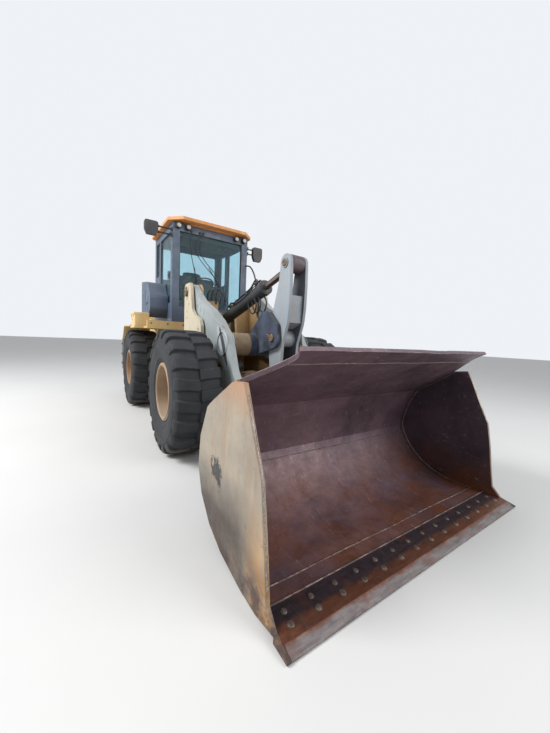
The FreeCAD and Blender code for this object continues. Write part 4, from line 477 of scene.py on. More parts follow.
def bucket_outside():
    """Off-white worn paint over steel, orange-yellow low at the front, rubbed at the edges."""
    look = Look("bucket_outside", 0.55)
    cloud = look.clouds(0.35, 0.7, 1.7, 5.0, 0.6)
    base = look.mix(cloud, rgb(168, 156, 138), rgb(132, 127, 120))
    streaks = look.streaks((7.0, 7.0, 1.1), 0.5, 0.72, 6.0, 0.7, 0.6)
    base = look.mix(streaks, base, rgb(150, 112, 80), 0.5)
    low = look.spread(look.axis(2), 0.05, 0.62, 1.0, 0.0)
    ahead = look.spread(look.axis(0), 3.22, 3.42)
    warm = look.times(look.times(low, ahead), look.clouds(0.3, 0.55, 3.2, 6.0, 0.7))
    base = look.mix(warm, base, rgb(206, 150, 74))
    high = look.spread(look.axis(2), 0.95, 1.2)
    tan = look.times(high, look.clouds(0.3, 0.6, 2.4, 5.0))
    base = look.mix(tan, base, rgb(178, 132, 98), 0.8)
    # Darker low down at the rear of the bucket's outside: grime together with a painted shadow.
    grime_and_shadow = look.times(
        look.spread(look.axis(2), 0.28, 0.62, 1.0, 0.0), look.spread(look.axis(0), 3.15, 3.4, 1.0, 0.0))
    grime_and_shadow = look.times(grime_and_shadow, look.clouds(0.33, 0.55, 1.9, 7.0, 0.68, out=(0.45, 0.9)))
    base = look.mix(grime_and_shadow, base, rgb(62, 54, 48))
    far = look.vector("DISTANCE", look.place, PEELED)
    ragged = look.maths("MULTIPLY_ADD", look.noise(9.0, 7.0, 0.75), 0.35, far)
    peeled = look.spread(ragged, 0.262, 0.275, 1.0, 0.0)
    base = look.mix(peeled, base, rgb(46, 44, 46), 0.9)
    spots = look.clouds(0.62, 0.68, 19.0, 9.0, 0.75)
    scraped = look.streaks((2.5, 40.0, 40.0), 0.64, 0.7, 7.0, 0.7, 0.2)
    heel = look.spread(look.axis(2), 0.1, 0.34, 1.0, 0.0)
    bare = look.larger(look.times(spots, 0.7), look.times(scraped, 0.6))
    bare = look.larger(bare, look.times(heel, look.clouds(0.35, 0.5, 4.0, 7.0, 0.7)))
    bare = look.larger(bare, look.worn_edges(0.008))
    steel = look.mix(look.clouds(0.35, 0.65, 13.0, 5.0), rgb(92, 72, 62), rgb(62, 50, 48))
    look.set("Base Color", look.mix(bare, base, steel))
    look.set("Roughness", look.clouds(0.3, 0.7, 15.0, 5.0, out=(0.45, 0.75)))
    dents = look.noise(3.0, 3.0)
    uneven = look.bump(dents, 0.5, 0.02, look.rounded(0.004))
    look.set("Normal", look.bump(look.times(bare, 0.7), 0.3, -0.0015, uneven))
    return look.material


def bucket_inside():
    """Scoured maroon-brown steel with pale scratches, a rusty floor and an orange band."""
    look = Look("bucket_inside", 0.45)
    cloud = look.clouds(0.32, 0.7, 2.0, 6.0, 0.62)
    base = look.mix(cloud, rgb(114, 91, 99), rgb(76, 61, 69))
    runs = look.streaks((5.0, 1.3, 5.0), 0.45, 0.75, 7.0, 0.7, 0.8)
    base = look.mix(runs, base, rgb(58, 46, 50), 0.5)
    height = look.axis(2)
    # Painted shade: the inner face of the far side plate is darker.
    shaded_far_side = look.spread(look.axis(1), 1.19, 1.21, 0.0, 0.55)
    base = look.mix(shaded_far_side, base, rgb(46, 42, 52))
    bottom = look.spread(height, 0.05, 0.42, 1.0, 0.0)
    rusty = look.times(bottom, look.clouds(0.35, 0.62, 2.6, 7.0, 0.65))
    base = look.mix(rusty, base, rgb(112, 66, 38), 0.9)
    pile = near(look, (3.02, -0.42, 0.12), 0.35, 0.95)
    dusty = look.times(pile, look.clouds(0.36, 0.62, 6.0, 8.0, 0.7))
    base = look.mix(dusty, base, rgb(142, 108, 106), 0.55)
    ahead = look.axis(0)
    band = look.times(look.spread(ahead, 3.42, 3.47), look.spread(height, 0.03, 0.1, 1.0, 0.0))
    band = look.times(band, look.clouds(0.3, 0.5, 5.0, 7.0, 0.7))
    base = look.mix(band, base, rgb(150, 82, 36), 0.85)
    marks = None
    for turn, scales, low, high, roughness, distortion in (
            ((0.3, 0.5, 0.4), (3.0, 30.0, 9.0), 0.61, 0.64, 0.78, 0.3),
            ((-0.5, 0.2, 1.1), (5.0, 44.0, 14.0), 0.62, 0.65, 0.8, 0.2)):
        place = look.node("ShaderNodeMapping", {"Vector": look.place, "Rotation": turn,
                                                "Scale": scales}).outputs[0]
        scratches = look.clouds(low, high, 1.0, 9.0, roughness, distortion, place)
        marks = look.larger(marks, scratches) if marks else scratches
    nicks = look.clouds(0.61, 0.64, 26.0, 7.0, 0.74)
    marks = look.larger(marks, look.times(nicks, look.spread(height, 0.5, 0.9, 0.35, 0.9)))
    base = look.mix(marks, base, rgb(160, 138, 144), 0.65)
    edges = look.worn_edges(0.01, 0.02, 0.2)
    look.set("Base Color", look.mix(edges, base, rgb(180, 164, 152), 0.8))
    look.set("Metallic", look.spread(cloud, 0.0, 1.0, 0.15, 0.35))
    look.set("Roughness", look.clouds(0.3, 0.7, 9.0, 6.0, 0.7, out=(0.36, 0.62)))
    uneven = look.bump(look.noise(2.6, 4.0), 0.6, 0.03, look.rounded(0.004))
    look.set("Normal", look.bump(look.noise(60.0, 6.0, 0.7), 0.3, 0.002, uneven))
    return look.material


BUCKET_OUTSIDE = bucket_outside()
BUCKET_INSIDE = bucket_inside()

# Finish of each CAD node by the start of its name; the first that fits is taken
NODE_LOOKS = (
    (PIN_STEEL, ("frame_pins", "steer_base_pins", "bucket_pins", "crank_pin")),
    (TOWER_PAINT, ("front_frame",)),
    (FRAME_PAINT, ("rear_frame", "deck", "rear_fenders", "access_steps", "tool_box")),
    (CAB_PAINT, ("side_box", "cab_frame", "cab_door")),
    (HOOD_PAINT, ("engine_hood",)), (ROOF_PAINT, ("cab_roof",)),
    (ARM_PAINT, ("lift_arms",)), (CRANK_PAINT, ("bellcrank", "tilt_link")),
    (DARK_PAINT, ("lift_barrels", "tilt_barrel", "steer_barrel", "engine_block")),
    (ROD_CHROME, ("lift_rods", "tilt_rod", "steer_rod")), (CAST_PAINT, ("counterweight",)),
    (GRILLE_PAINT, ("grille_door",)), (EXHAUST_STEEL, ("exhaust_stack",)),
    (SKY_TINTED_GLASS, ("windscreen", "cab_glass", "door_glass")), (SEAT_FABRIC, ("operator_seat",)),
    (TRIM_PLASTIC, ("air_cleaner", "steering_console", "work_lamps")), (MIRROR_SHELL, ("mirrors",)),
    (AXLE_PAINT, ("front_axle", "rear_axle")), (RIM_PAINT, ("rim",)), (TYRE_RUBBER, ("tyre",)),
    (EDGE_STEEL, ("cutting_edge",)), (BUCKET_OUTSIDE, ("corner_guards", "bucket_shell")),
)

for name, obj in frame["nodes"].items():
    look = next(found for found, starts in NODE_LOOKS if name.startswith(starts))
    obj.data.materials.clear()
    obj.data.materials.append(look)


# Mesh helpers

def finished(name, mesh, material, body, smooth=30.0):
    """Link a bmesh as a piece that rides on a body, or on none for one that spans two bodies."""
    data = bpy.data.meshes.new(name)
    mesh.to_mesh(data)
    mesh.free()
    for item in material if isinstance(material, list) else [material]:
        data.materials.append(item)
    for polygon in data.polygons:
        polygon.use_smooth = True
    data.set_sharp_from_angle(angle=math.radians(smooth))
    piece = bpy.data.objects.new(name, data)
    SCENE.collection.objects.link(piece)
    if body:
        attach(piece, body)
    return piece


def turned(degrees, axis):
    return Matrix.Rotation(math.radians(degrees), 3, axis)


def add_box(mesh, low, high, bevel=0.0, turn=None):
    """A block with bevelled edges; turn is a matrix applied about the block's middle."""
    low, high = Vector(low), Vector(high)
    size, centre = high - low, (low + high) / 2
    made = bmesh.ops.create_cube(mesh, size=1.0)["verts"]
    for vert in made:
        vert.co *= size
    if bevel:
        edges = list(dict.fromkeys(e for v in made for e in v.link_edges))
        made = bmesh.ops.bevel(mesh, geom=edges, offset=bevel, segments=2, affect="EDGES", profile=0.5)["verts"]
    for vert in made:
        vert.co = (turn @ vert.co if turn else vert.co) + centre


def add_side_box(mesh, side, low, high, bevel=0.0, turn=None):
    """A block given on the left side, built there or mirrored to the right."""
    y0, y1 = sorted((side * low[1], side * high[1]))
    add_box(mesh, (low[0], y0, low[2]), (high[0], y1, high[2]), bevel, turn)


def add_boxes(mesh, *rows):
    """Blocks given as (low corner, high corner, bevel)."""
    for low, high, bevel in rows:
        add_box(mesh, low, high, bevel)


def frame_from(direction):
    """A rotation that takes +Z to a direction."""
    return Vector(UP).rotation_difference(Vector(direction).normalized()).to_matrix()


def circle(radius, count, start=0.0):
    """Places round a circle as (x, y) pairs."""
    turns = [start + FULL_TURN * i / count for i in range(count)]
    return [(radius * math.cos(turn), radius * math.sin(turn)) for turn in turns]


def add_ring(mesh, base, turn, radius, along, count):
    return [mesh.verts.new(Vector(base) + turn @ Vector((x, y, along))) for x, y in circle(radius, count)]


def bridge(mesh, one, two):
    """Four-sided faces between two rings of points."""
    for i in range(len(one)):
        j = (i + 1) % len(one)
        mesh.faces.new((one[i], one[j], two[j], two[i]))


def add_lathe(mesh, base, direction, profile, count=24):
    """A closed body of revolution: profile is (radius, along) pairs from one end of the axis to the other."""
    turn = frame_from(direction)
    rings = [add_ring(mesh, base, turn, radius, along, count if radius else 1) for radius, along in profile]
    for one, two in zip(rings, rings[1:]):
        if len(one) == len(two):
            bridge(mesh, one, two)
            continue
        for i in range(count):
            j = (i + 1) % count
            mesh.faces.new((one[0], two[j], two[i]) if len(one) == 1 else (one[i], one[j], two[0]))
    for ring in (rings[0][::-1], rings[-1]):
        if len(ring) > 1:
            mesh.faces.new(ring)


def add_hoop(mesh, base, direction, outline, count):
    """A ring whose section is a closed outline of (radius, along) pairs."""
    turn = frame_from(direction)
    rings = [add_ring(mesh, base, turn, radius, along, count) for radius, along in outline]
    for one, two in zip(rings, rings[1:] + rings[:1]):
        bridge(mesh, one, two)


def add_bolt(mesh, base, direction, radius, height, washer=True):
    """A hexagon head on a washer."""
    if washer:
        add_lathe(mesh, base, direction, ((radius * 1.35, 0.0), (radius * 1.35, height * 0.22)), 16)
    top = height * (1.22 if washer else 1.0)
    low = height * 0.2 if washer else 0.0
    add_lathe(mesh, base, direction, ((radius, low), (radius, top * 0.86), (radius * 0.82, top)), 6)


def add_tube(mesh, points, radius, sides=10):
    """A round tube along points, smoothed by the caller."""
    points = [Vector(p) for p in points]
    rings, normal = [], None
    for i, point in enumerate(points):
        ahead = points[min(i + 1, len(points) - 1)] - points[max(i - 1, 0)]
        ahead.normalize()
        if normal is None:
            normal = ahead.orthogonal().normalized()
        normal = (normal - ahead * normal.dot(ahead)).normalized()
        other = ahead.cross(normal)
        rings.append([mesh.verts.new(point + radius * (
            normal * math.cos(FULL_TURN * k / sides) + other * math.sin(FULL_TURN * k / sides)))
            for k in range(sides)])
    for one, two in zip(rings, rings[1:]):
        bridge(mesh, one, two)
    mesh.faces.new(rings[0][::-1])
    mesh.faces.new(rings[-1])


def curve_through(points, steps):
    """A smooth line through points, in a number of steps from one to the next."""
    points = [Vector(p) for p in points]
    ends = [points[0] * 2 - points[1]] + points + [points[-1] * 2 - points[-2]]
    line = []
    for a, b, c, d in zip(ends, ends[1:], ends[2:], ends[3:]):
        for i in range(steps):
            t = i / steps
            line.append(0.5 * ((2 * b) + (c - a) * t + (2 * a - 5 * b + 4 * c - d) * t ** 2
                               + (3 * b - a - 3 * c + d) * t ** 3))
    return line + [points[-1]]


def add_curve(mesh, points, steps, radius, sides=10):
    """A round tube along a smooth line through points."""
    add_tube(mesh, curve_through(points, steps), radius, sides)


# Reading the CAD surface

def surface(node):
    """A search tree over a CAD node's faces."""
    mesh = bmesh.new()
    mesh.from_mesh(frame["nodes"][node].data)
    tree = BVHTree.FromBMesh(mesh)
    mesh.free()
    return tree


def strike(tree, origin, direction):
    """First point where a ray meets a surface."""
    return tree.ray_cast(Vector(origin), Vector(direction).normalized())[0]


# Wheels: moulded tyres, studs, lock rings and hub covers

LUGS = 20
FRONT_AXLE_X, REAR_AXLE_X, WHEEL_Y, AXLE_Z = 0.93, -1.92, 0.98, 0.745
WHEELS = {"front_left": (FRONT_AXLE_X, 1), "front_right": (FRONT_AXLE_X, -1),
          "rear_left": (REAR_AXLE_X, 1), "rear_right": (REAR_AXLE_X, -1)}
# Faces of a wheel's disc, hub ring and hub cap, as distances from the middle plane
DISC_FACE, RING_FACE, CAP_FACE = 0.884, 0.969, 1.029
# Half of the casing's outline, (radius, distance from the tyre's middle plane), from bead to crown
CASING = (
    (0.3188, 0.196), (0.3360, 0.2005), (0.3510, 0.2035), (0.3560, 0.2140), (0.3720, 0.2260), (0.4000, 0.2360),
    (0.4040, 0.2400), (0.4140, 0.2400), (0.4180, 0.2390), (0.4700, 0.2500), (0.5200, 0.2550), (0.5600, 0.2560),
    (0.5980, 0.2540), (0.6020, 0.2580), (0.6160, 0.2570), (0.6200, 0.2530), (0.6550, 0.2430), (0.6850, 0.2280),
    (0.7020, 0.2050), (0.7100, 0.1700), (0.7125, 0.1000), (0.7130, 0.0300),
)
# One lug from the middle to over the shoulder: top (y, radius), foot (y, radius), half angles at top and foot
LUG_STATIONS = (
    (0.006, 0.7435, 0.006, 0.705, 4.3, 5.5), (0.060, 0.7448, 0.060, 0.705, 4.1, 5.3),
    (0.120, 0.7448, 0.120, 0.705, 4.0, 5.2), (0.170, 0.7435, 0.168, 0.704, 4.1, 5.3),
    (0.205, 0.7395, 0.195, 0.702, 4.3, 5.4), (0.230, 0.7300, 0.212, 0.692, 4.5, 5.6),
    (0.246, 0.7120, 0.222, 0.678, 4.6, 5.6), (0.2545, 0.690, 0.228, 0.664, 4.6, 5.5),
    (0.2585, 0.664, 0.236, 0.646, 4.4, 5.3), (0.2565, 0.640, 0.244, 0.632, 4.2, 5.0),
)


def add_lug(mesh, centre, side, angle, worn):
    rings = []
    for top_y, top_r, foot_y, foot_r, top_half, foot_half in LUG_STATIONS:
        shift = angle + 2.2 * (top_y / 0.26) ** 1.6
        top_r -= worn
        section = (
            (-foot_half, foot_r, foot_y), (-top_half - 0.25, top_r - 0.006, top_y - 0.001),
            (-top_half + 0.3, top_r, top_y), (top_half - 0.3, top_r, top_y),
            (top_half + 0.25, top_r - 0.006, top_y - 0.001), (foot_half, foot_r, foot_y))
        ring = []
        for offset, radius, out in section:
            turn = math.radians(shift + offset)
            ring.append(mesh.verts.new(centre + Vector(
                (radius * math.cos(turn), side * out, radius * math.sin(turn)))))
        rings.append(ring)
    for one, two in zip(rings, rings[1:]):
        bridge(mesh, one, two)
    mesh.faces.new(rings[0][::-1])
    mesh.faces.new(rings[-1])


def tyre(name, x, side):
    mesh = bmesh.new()
    centre = Vector((x, WHEEL_Y * side, AXLE_Z))
    outline = CASING + tuple((radius, -along) for radius, along in reversed(CASING))
    add_hoop(mesh, centre, (0, 1, 0), outline, 120)
    chance = random.Random(len(name) * 7 + side)
    for half in SIDES:
        for index in range(LUGS):
            add_lug(mesh, centre, half, 360 / LUGS * (index + half * 0.25), chance.uniform(0.0, 0.004))
    bmesh.ops.recalc_face_normals(mesh, faces=mesh.faces)
    piece = finished("tyre_moulded_" + name, mesh, TYRE_RUBBER, "wheel_" + name, 26.0)
    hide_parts("tyre_" + name)


def on_circle(x, y, z, radius, count, start=0.0):
    """Points round a wheel's axis."""
    return [Vector((x + ahead, y, z + up)) for ahead, up in circle(radius, count, start)]


def wheel_fastenings(name, x, side):
    out, hub = (0, side, 0), Vector((x, 0.0, AXLE_Z))
    disc, ring, cap = (hub + Vector((0, side * face, 0)) for face in (DISC_FACE, RING_FACE, CAP_FACE))
    mesh = bmesh.new()
    for face, radius, count, start, bolt, height in (
            (0.883, 0.252, 16, 0.0, 0.016, 0.030), (RING_FACE, 0.160, 16, 0.1, 0.010, 0.014),
            (CAP_FACE, 0.104, 8, 0.2, 0.0085, 0.010)):
        for place in on_circle(x, side * face, AXLE_Z, radius, count, start):
            add_bolt(mesh, place, out, bolt, height)
    valve = Vector((x + 0.262, side * DISC_FACE, AXLE_Z + 0.075))
    add_tube(mesh, [valve, valve + Vector((0.004, side * 0.05, 0.004)), valve + Vector(
        (0.010, side * 0.075, 0.008))], 0.006)
    finished("wheel_studs_" + name, mesh, BOLT_STEEL, "wheel_" + name)
    mesh = bmesh.new()
    add_hoop(mesh, (x, side * (WHEEL_Y + 0.2195), AXLE_Z), out,
             [(0.322 + ahead, 0.002 + up) for ahead, up in circle(0.010, 10)], 96)
    add_hoop(mesh, disc, out, ((0.296, -0.004), (0.303, -0.004), (0.303, 0.020)), 72)
    add_hoop(mesh, ring, out, ((0.128, -0.002), (0.148, -0.002), (0.144, 0.010), (0.132, 0.010)), 48)
    add_lathe(mesh, cap, out, (
        (0.084, -0.002), (0.080, 0.008), (0.060, 0.013), (0.030, 0.015), (0.026, 0.024), (0.0, 0.025)), 36)
    finished("wheel_rings_" + name, mesh, RIM_PAINT, "wheel_" + name, 40.0)


for name, (x, side) in WHEELS.items():
    tyre(name, x, side)
    wheel_fastenings(name, x, side)


# Bucket: worn shell with dents, weld beads, edge bolts and seams

BOWL = Vector((3.05, 0.0, 0.78))
noise.seed_set(11)


def dent(place, share):
    """A smooth shift that is nearly the same on both faces of a plate."""
    coarse = noise.noise_vector(place * 1.9 + Vector((11.0, 4.0, 7.0))) * 0.011
    fine = noise.noise_vector(place * 5.2 + Vector((3.0, 17.0, 5.0))) * 0.0035
    return (coarse + fine) * share


def held(value, low=0.0, high=1.0):
    return max(low, min(high, value))


def bucket_skin():
    mesh = bmesh.new()
    mesh.from_mesh(frame["nodes"]["bucket_shell"].data)
    for axis, low, high, step in ((1, -1.24, 1.24, 0.08), (0, 2.3, 3.5, 0.08), (2, 0.08, 1.36, 0.08)):
        count = int(round((high - low) / step))
        for index in range(count + 1):
            spot, normal = Vector((0, 0, 0)), Vector((0, 0, 0))
            spot[axis], normal[axis] = low + index * step, 1.0
            bmesh.ops.bisect_plane(mesh, geom=mesh.verts[:] + mesh.edges[:] + mesh.faces[:], dist=1e-5,
                                   plane_co=spot, plane_no=normal)
    bmesh.ops.triangulate(mesh, faces=[f for f in mesh.faces if len(f.verts) > 4])
    mesh.normal_update()
    for face in mesh.faces:
        centre = face.calc_center_median()
        to_bowl = BOWL - Vector((centre.x, 0.0, centre.z))
        if abs(face.normal.y) > 0.7:
            inside = abs(centre.y) > 1.2 and face.normal.y * centre.y < 0
        else:
            inside = abs(centre.y) < 1.25 and (face.normal.x * to_bowl.x + face.normal.z * to_bowl.z) > 0.05
        if abs(face.normal.y) <= 0.7 and centre.x < 2.6 and centre.z < 0.75:
            inside = inside and face.normal.x > 0.3
        if centre.z > 1.18 and face.normal.x * 0.845 + face.normal.z * 0.535 > 0.7:
            inside = True
        if centre.z > 0.96 and abs(centre.y) < 1.235 and abs(face.normal.z) < 0.2:
            inside = True
        face.material_index = 1 if inside else 0
    low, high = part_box("bucket_shell")
    for vert in mesh.verts:
        place = vert.co
        hinge = held((place.x - 2.55) / 0.25 + (0.6 if place.z > 0.95 else 0.0))
        lip = held((3.40 - place.x) / 0.2 + max(0.0, place.z - 0.12) / 0.25)
        vert.co = place + dent(place, hinge * lip * held(place.z / 0.12))
        for axis in range(3):
            vert.co[axis] = held(vert.co[axis], low[axis], high[axis])
    piece = finished("bucket_skin", mesh, [BUCKET_OUTSIDE, BUCKET_INSIDE], "bucket", 32.0)
    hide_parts("bucket_shell")


def inner_line(tree, y):
    """Points on the bucket's inner face at one y, from the lip round to the guard's top."""
    line = []
    for index in range(57):
        turn = math.radians(-108.0 + 225.0 * index / 56)
        place = strike(tree, (BOWL.x, y, BOWL.z), (-math.cos(turn), 0, math.sin(turn)))
        if place:
            line.append(place + dent(place, 0.6))
    return line


def add_bead(mesh, points, radius, seed=1):
    """A weld bead: a tube whose thickness ripples."""
    chance = random.Random(seed)
    fine = curve_through(points, 4) if len(points) < 60 else [Vector(p) for p in points]
    add_tube(mesh, [p + Vector((0, 0, chance.uniform(-1, 1) * radius * 0.12)) for p in fine], radius, 6)


def along_y(tree, x, z, direction):
    """Points on the bucket along Y, found by rays from one line in one direction."""
    line = []
    for index in range(41):
        place = strike(tree, (x, -1.25 + 2.5 * index / 40, z), direction)
        if place:
            line.append(place + dent(place, 0.6))
    return line


def bucket_trim():
    tree = surface("bucket_shell")
    mesh = bmesh.new()
    for y in (-1.2525, 1.2525):
        line = inner_line(tree, y * 0.995)
        add_bead(mesh, [Vector((p.x, y, p.z)) for p in line], 0.009)
    for seed, x, z, direction, radius in (
            (2, 3.00, 0.9, (0.54, 0.0, 0.84), 0.006), (3, 3.30, 0.9, (0, 0, -1), 0.006),
            (4, 2.80, 0.6, (-0.8, 0, -0.6), 0.005)):
        add_bead(mesh, along_y(tree, x, z, direction), radius, seed)
    add_bead(mesh, [(3.412, -1.25 + 2.5 * i / 30, 0.0385) for i in range(31)], 0.006, 5)
    finished("bucket_welds", mesh, WELD_STEEL, "bucket", 60.0)

    mesh = bmesh.new()
    for index in range(14):
        y = -1.17 + 0.18 * index
        for place, profile in (
                ((3.545, y, 0.0355), ((0.021, 0.0), (0.0195, 0.004), (0.012, 0.0065), (0.0, 0.0072))),
                ((3.470, y + 0.01, 0.0355), ((0.019, 0.0), (0.0175, 0.004), (0.010, 0.006), (0.0, 0.0066)))):
            add_lathe(mesh, place, UP, profile, 18)
    for side in SIDES:
        for x, z in ((3.34, 0.13), (3.40, 0.30), (3.33, 0.47)):
            add_lathe(
                mesh, (x, side * 1.2545, z), (0, -side, 0), ((0.020, 0.0), (0.018, 0.004), (0.0, 0.006)), 16)
    finished("bucket_edge_bolts", mesh, BOLT_STEEL, "bucket")

    mesh = bmesh.new()
    for y in (-1.11, -0.555, 0.02, 0.60, 1.12):
        add_box(mesh, (3.414, y - 0.0022, 0.0352), (3.608, y + 0.0022, 0.0368))
    finished("bucket_edge_gaps", mesh, SEAL_RUBBER, "bucket")


# How far out the rubbed edges may reach, so that they stay within the CAD model's box
RUBBED_Y = 1.271


def bucket_edge_strips():
    """Rubbed bright strips along the side plates' front edges."""
    tree = surface("bucket_shell")
    mesh = bmesh.new()
    for side in SIDES:
        line = []
        for index in range(30):
            z = 0.20 + 0.93 * index / 29
            place = strike(tree, (3.66, side * 1.267, z), (-1, 0, 0))
            if place:
                place = place + dent(place, 0.8) + Vector((-0.004, 0, 0))
                place.y = held(place.y, -RUBBED_Y, RUBBED_Y)
                line.append(place)
        add_tube(mesh, line, 0.0085, 6)
    finished("bucket_rubbed_edges", mesh, RUBBED_STEEL, "bucket", 60.0)


bucket_skin()
bucket_trim()
bucket_edge_strips()


# Cylinders: glands, ports, pipes with clamps, and lines

class Line:
    """A straight axis with its own up direction, for pieces laid along a cylinder."""

    def __init__(self, base, end, up=UP):
        self.base = Vector(base)
        self.along = (Vector(end) - self.base).normalized()
        self.up = (Vector(up) - self.along * self.along.dot(Vector(up))).normalized()
        self.side = self.up.cross(self.along)

    def at(self, along, side=0.0, up=0.0):
        return self.base + self.along * along + self.side * side + self.up * up

    def turn(self):
        return Matrix((self.along, self.side, self.up)).transposed()

    def box(self, mesh, along, side, up, bevel=0.004):
        """A block between pairs of distances along, sideways and up."""
        low, high = Vector((along[0], side[0], up[0])), Vector((along[1], side[1], up[1]))
        centre, half = self.at(*((low + high) / 2)), (high - low) / 2
        add_box(mesh, centre - half, centre + half, bevel, self.turn())

    def pipe(self, mesh, points, radius, sides=10):
        add_curve(mesh, [self.at(*p) for p in points], 6, radius, sides)


# The linkage's pins, as (x, z)
ARM_PIN, CRANK_PIN, BUCKET_PIN = (0.05, 2.05), (1.70, 1.44), (2.35, 0.33)
LIFT_BASE, LIFT_EYE = (0.04, 1.35), (1.23, 1.08)
TILT_BASE, TILT_EYE = (0.03, 1.73), (1.83, 2.27)
LINK_BASE, LINK_END = (1.71, 0.70), (2.38, 0.63)


def at_pin(pin, y=0.0):
    return Vector((pin[0], y, pin[1]))


TILT = Line(at_pin(TILT_BASE), at_pin(TILT_EYE))
LIFTS = {side: Line(at_pin(LIFT_BASE, 0.37 * side), at_pin(LIFT_EYE, 0.37 * side)) for side in SIDES}
STEERS = {side: Line((-1.245, 0.45 * side, 0.81), (-0.395, 0.30 * side, 0.81)) for side in SIDES}


def gland(mesh, line, end, radius, bolts=8):
    """Head of a cylinder: collar, chamfered nose and a ring of bolts."""
    add_lathe(mesh, line.at(end - 0.085), line.along, (
        (radius * 0.97, 0.0), (radius * 1.11, 0.004), (radius * 1.13, 0.012), (radius * 1.13, 0.052),
        (radius * 1.10, 0.060), (radius * 1.02, 0.062), (radius * 1.02, 0.082), (radius * 0.95, 0.088),
        (radius * 0.70, 0.090)), 40)
    for index in range(bolts):
        turn = FULL_TURN * (index + 0.5) / bolts
        add_bolt(mesh, line.at(end - 0.001, radius * 0.82 * math.cos(turn), radius * 0.82 * math.sin(turn)),
                 line.along, radius * 0.085, radius * 0.10, False)


def port(mesh, line, along, top, size=0.034):
    """A welded port block with a hexagon fitting on it."""
    line.box(mesh, (along - size, along + size), (-size * 0.8, size * 0.8), (top - 0.02, top + size * 0.8))
    add_lathe(mesh, line.at(along, 0.0, top + size * 0.7), line.up, (
        (size * 0.62, 0.0), (size * 0.62, size * 0.5), (size * 0.45, size * 0.6)), 6)


def tilt_dressing():
    line, radius = TILT, 0.088
    mesh = bmesh.new()
    gland(mesh, line, 1.262, radius)
    for along in (0.115, 0.60):
        add_lathe(mesh, line.at(along), line.along, (
            (radius, 0.0), (radius * 1.05, 0.004), (radius * 1.05, 0.026), (radius, 0.03)), 40)
    for along in (0.235, 1.085):
        port(mesh, line, along, radius)
    line.box(mesh, (0.20, 0.27), (-0.062, 0.062), (radius + 0.018, radius + 0.045))
    line.box(mesh, (1.06, 1.11), (-0.060, 0.060), (radius + 0.018, radius + 0.048))
    for along in (0.47, 0.80):
        line.box(mesh, (along - 0.022, along + 0.022), (-0.050, 0.050), (radius - 0.012, radius + 0.042))
        line.box(mesh, (along - 0.030, along + 0.030), (-0.012, 0.012), (radius + 0.038, radius + 0.05))
    finished("tilt_cylinder_fittings", mesh, DARK_PAINT, "tilt_barrel", 40.0)

    mesh = bmesh.new()
    for side in (-0.030, 0.030):
        line.pipe(mesh, (
            (0.235, side, 0.125), (0.245, side, 0.150), (0.29, side, 0.152), (0.36, side, 0.122),
            (0.50, side, 0.117), (0.75, side, 0.117), (0.92, side, 0.122), (1.00, side, 0.150),
            (1.06, side, 0.172), (1.105, side, 0.165), (1.115, side, 0.135), (1.10, side, 0.112)), 0.0125)
    line.pipe(mesh, ((0.25, -0.055, 0.115), (0.26, -0.080, 0.112), (0.32, -0.095, 0.060), (0.60, -0.098, 0.025),
                     (0.95, -0.098, 0.025), (1.10, -0.100, 0.045), (1.165, -0.098, 0.050)), 0.007, 8)
    finished("tilt_cylinder_pipes", mesh, LINE_STEEL, "tilt_barrel", 50.0)

    mesh = bmesh.new()
    for side in (0.070, -0.070):
        add_lathe(mesh, line.at(0.16, side, 0.052), line.up + line.side * side * 9, (
            (0.010, 0.0), (0.010, 0.012), (0.0065, 0.014), (0.0065, 0.024), (0.0, 0.027)), 10)
    finished("tilt_cylinder_nipples", mesh, ZINC_FITTING, "tilt_barrel")


def lift_dressing():
    mesh, pipes = bmesh.new(), bmesh.new()
    for side, line in LIFTS.items():
        radius, inner_side = 0.072, -side if line.side.y > 0 else side
        gland(mesh, line, 1.012, radius)
        for along in (0.16, 0.90):
            port(mesh, line, along, radius, 0.026)
        for along in (0.36, 0.66):
            line.box(mesh, (along - 0.018, along + 0.018), (-0.024, 0.024), (radius - 0.010, radius + 0.030))
        line.pipe(pipes, ((0.90, 0.0, 0.098), (0.895, 0.0, 0.118), (0.86, 0.0, 0.120), (0.78, 0.0, 0.092),
                          (0.60, 0.0, 0.088), (0.35, 0.0, 0.088), (0.25, 0.0, 0.098), (0.19, 0.0, 0.118),
                          (0.165, 0.0, 0.112), (0.16, 0.0, 0.098)), 0.0105)
        add_lathe(mesh, line.at(0.09), line.along, (
            (radius, 0.0), (radius * 1.06, 0.004), (radius * 1.06, 0.022), (radius, 0.026)), 36)
        add_lathe(pipes, line.at(0.05, inner_side * 0.045, 0.055), line.up, (
            (0.008, 0.0), (0.008, 0.012), (0.0, 0.022)), 10)
    finished("lift_cylinder_fittings", mesh, DARK_PAINT, "lift_barrels", 40.0)
    finished("lift_cylinder_pipes", pipes, LINE_STEEL, "lift_barrels", 50.0)


def steer_dressing():
    for side, line in STEERS.items():
        which = "left" if side > 0 else "right"
        mesh = bmesh.new()
        gland(mesh, line, 0.561, 0.045, 6)
        for along in (0.12, 0.48):
            port(mesh, line, along, 0.045, 0.018)
        line.pipe(mesh, ((0.12, 0.0, 0.062), (0.13, 0.0, 0.078), (0.18, 0.0, 0.066), (0.30, 0.0, 0.060),
                         (0.42, 0.0, 0.066), (0.47, 0.0, 0.078), (0.48, 0.0, 0.062)), 0.008)
        finished("steer_cylinder_fittings_" + which, mesh, DARK_PAINT, "steer_barrel_" + which,
                 40.0)


tilt_dressing()
lift_dressing()
steer_dressing()


# Rods: bright shaft, dark forged eye

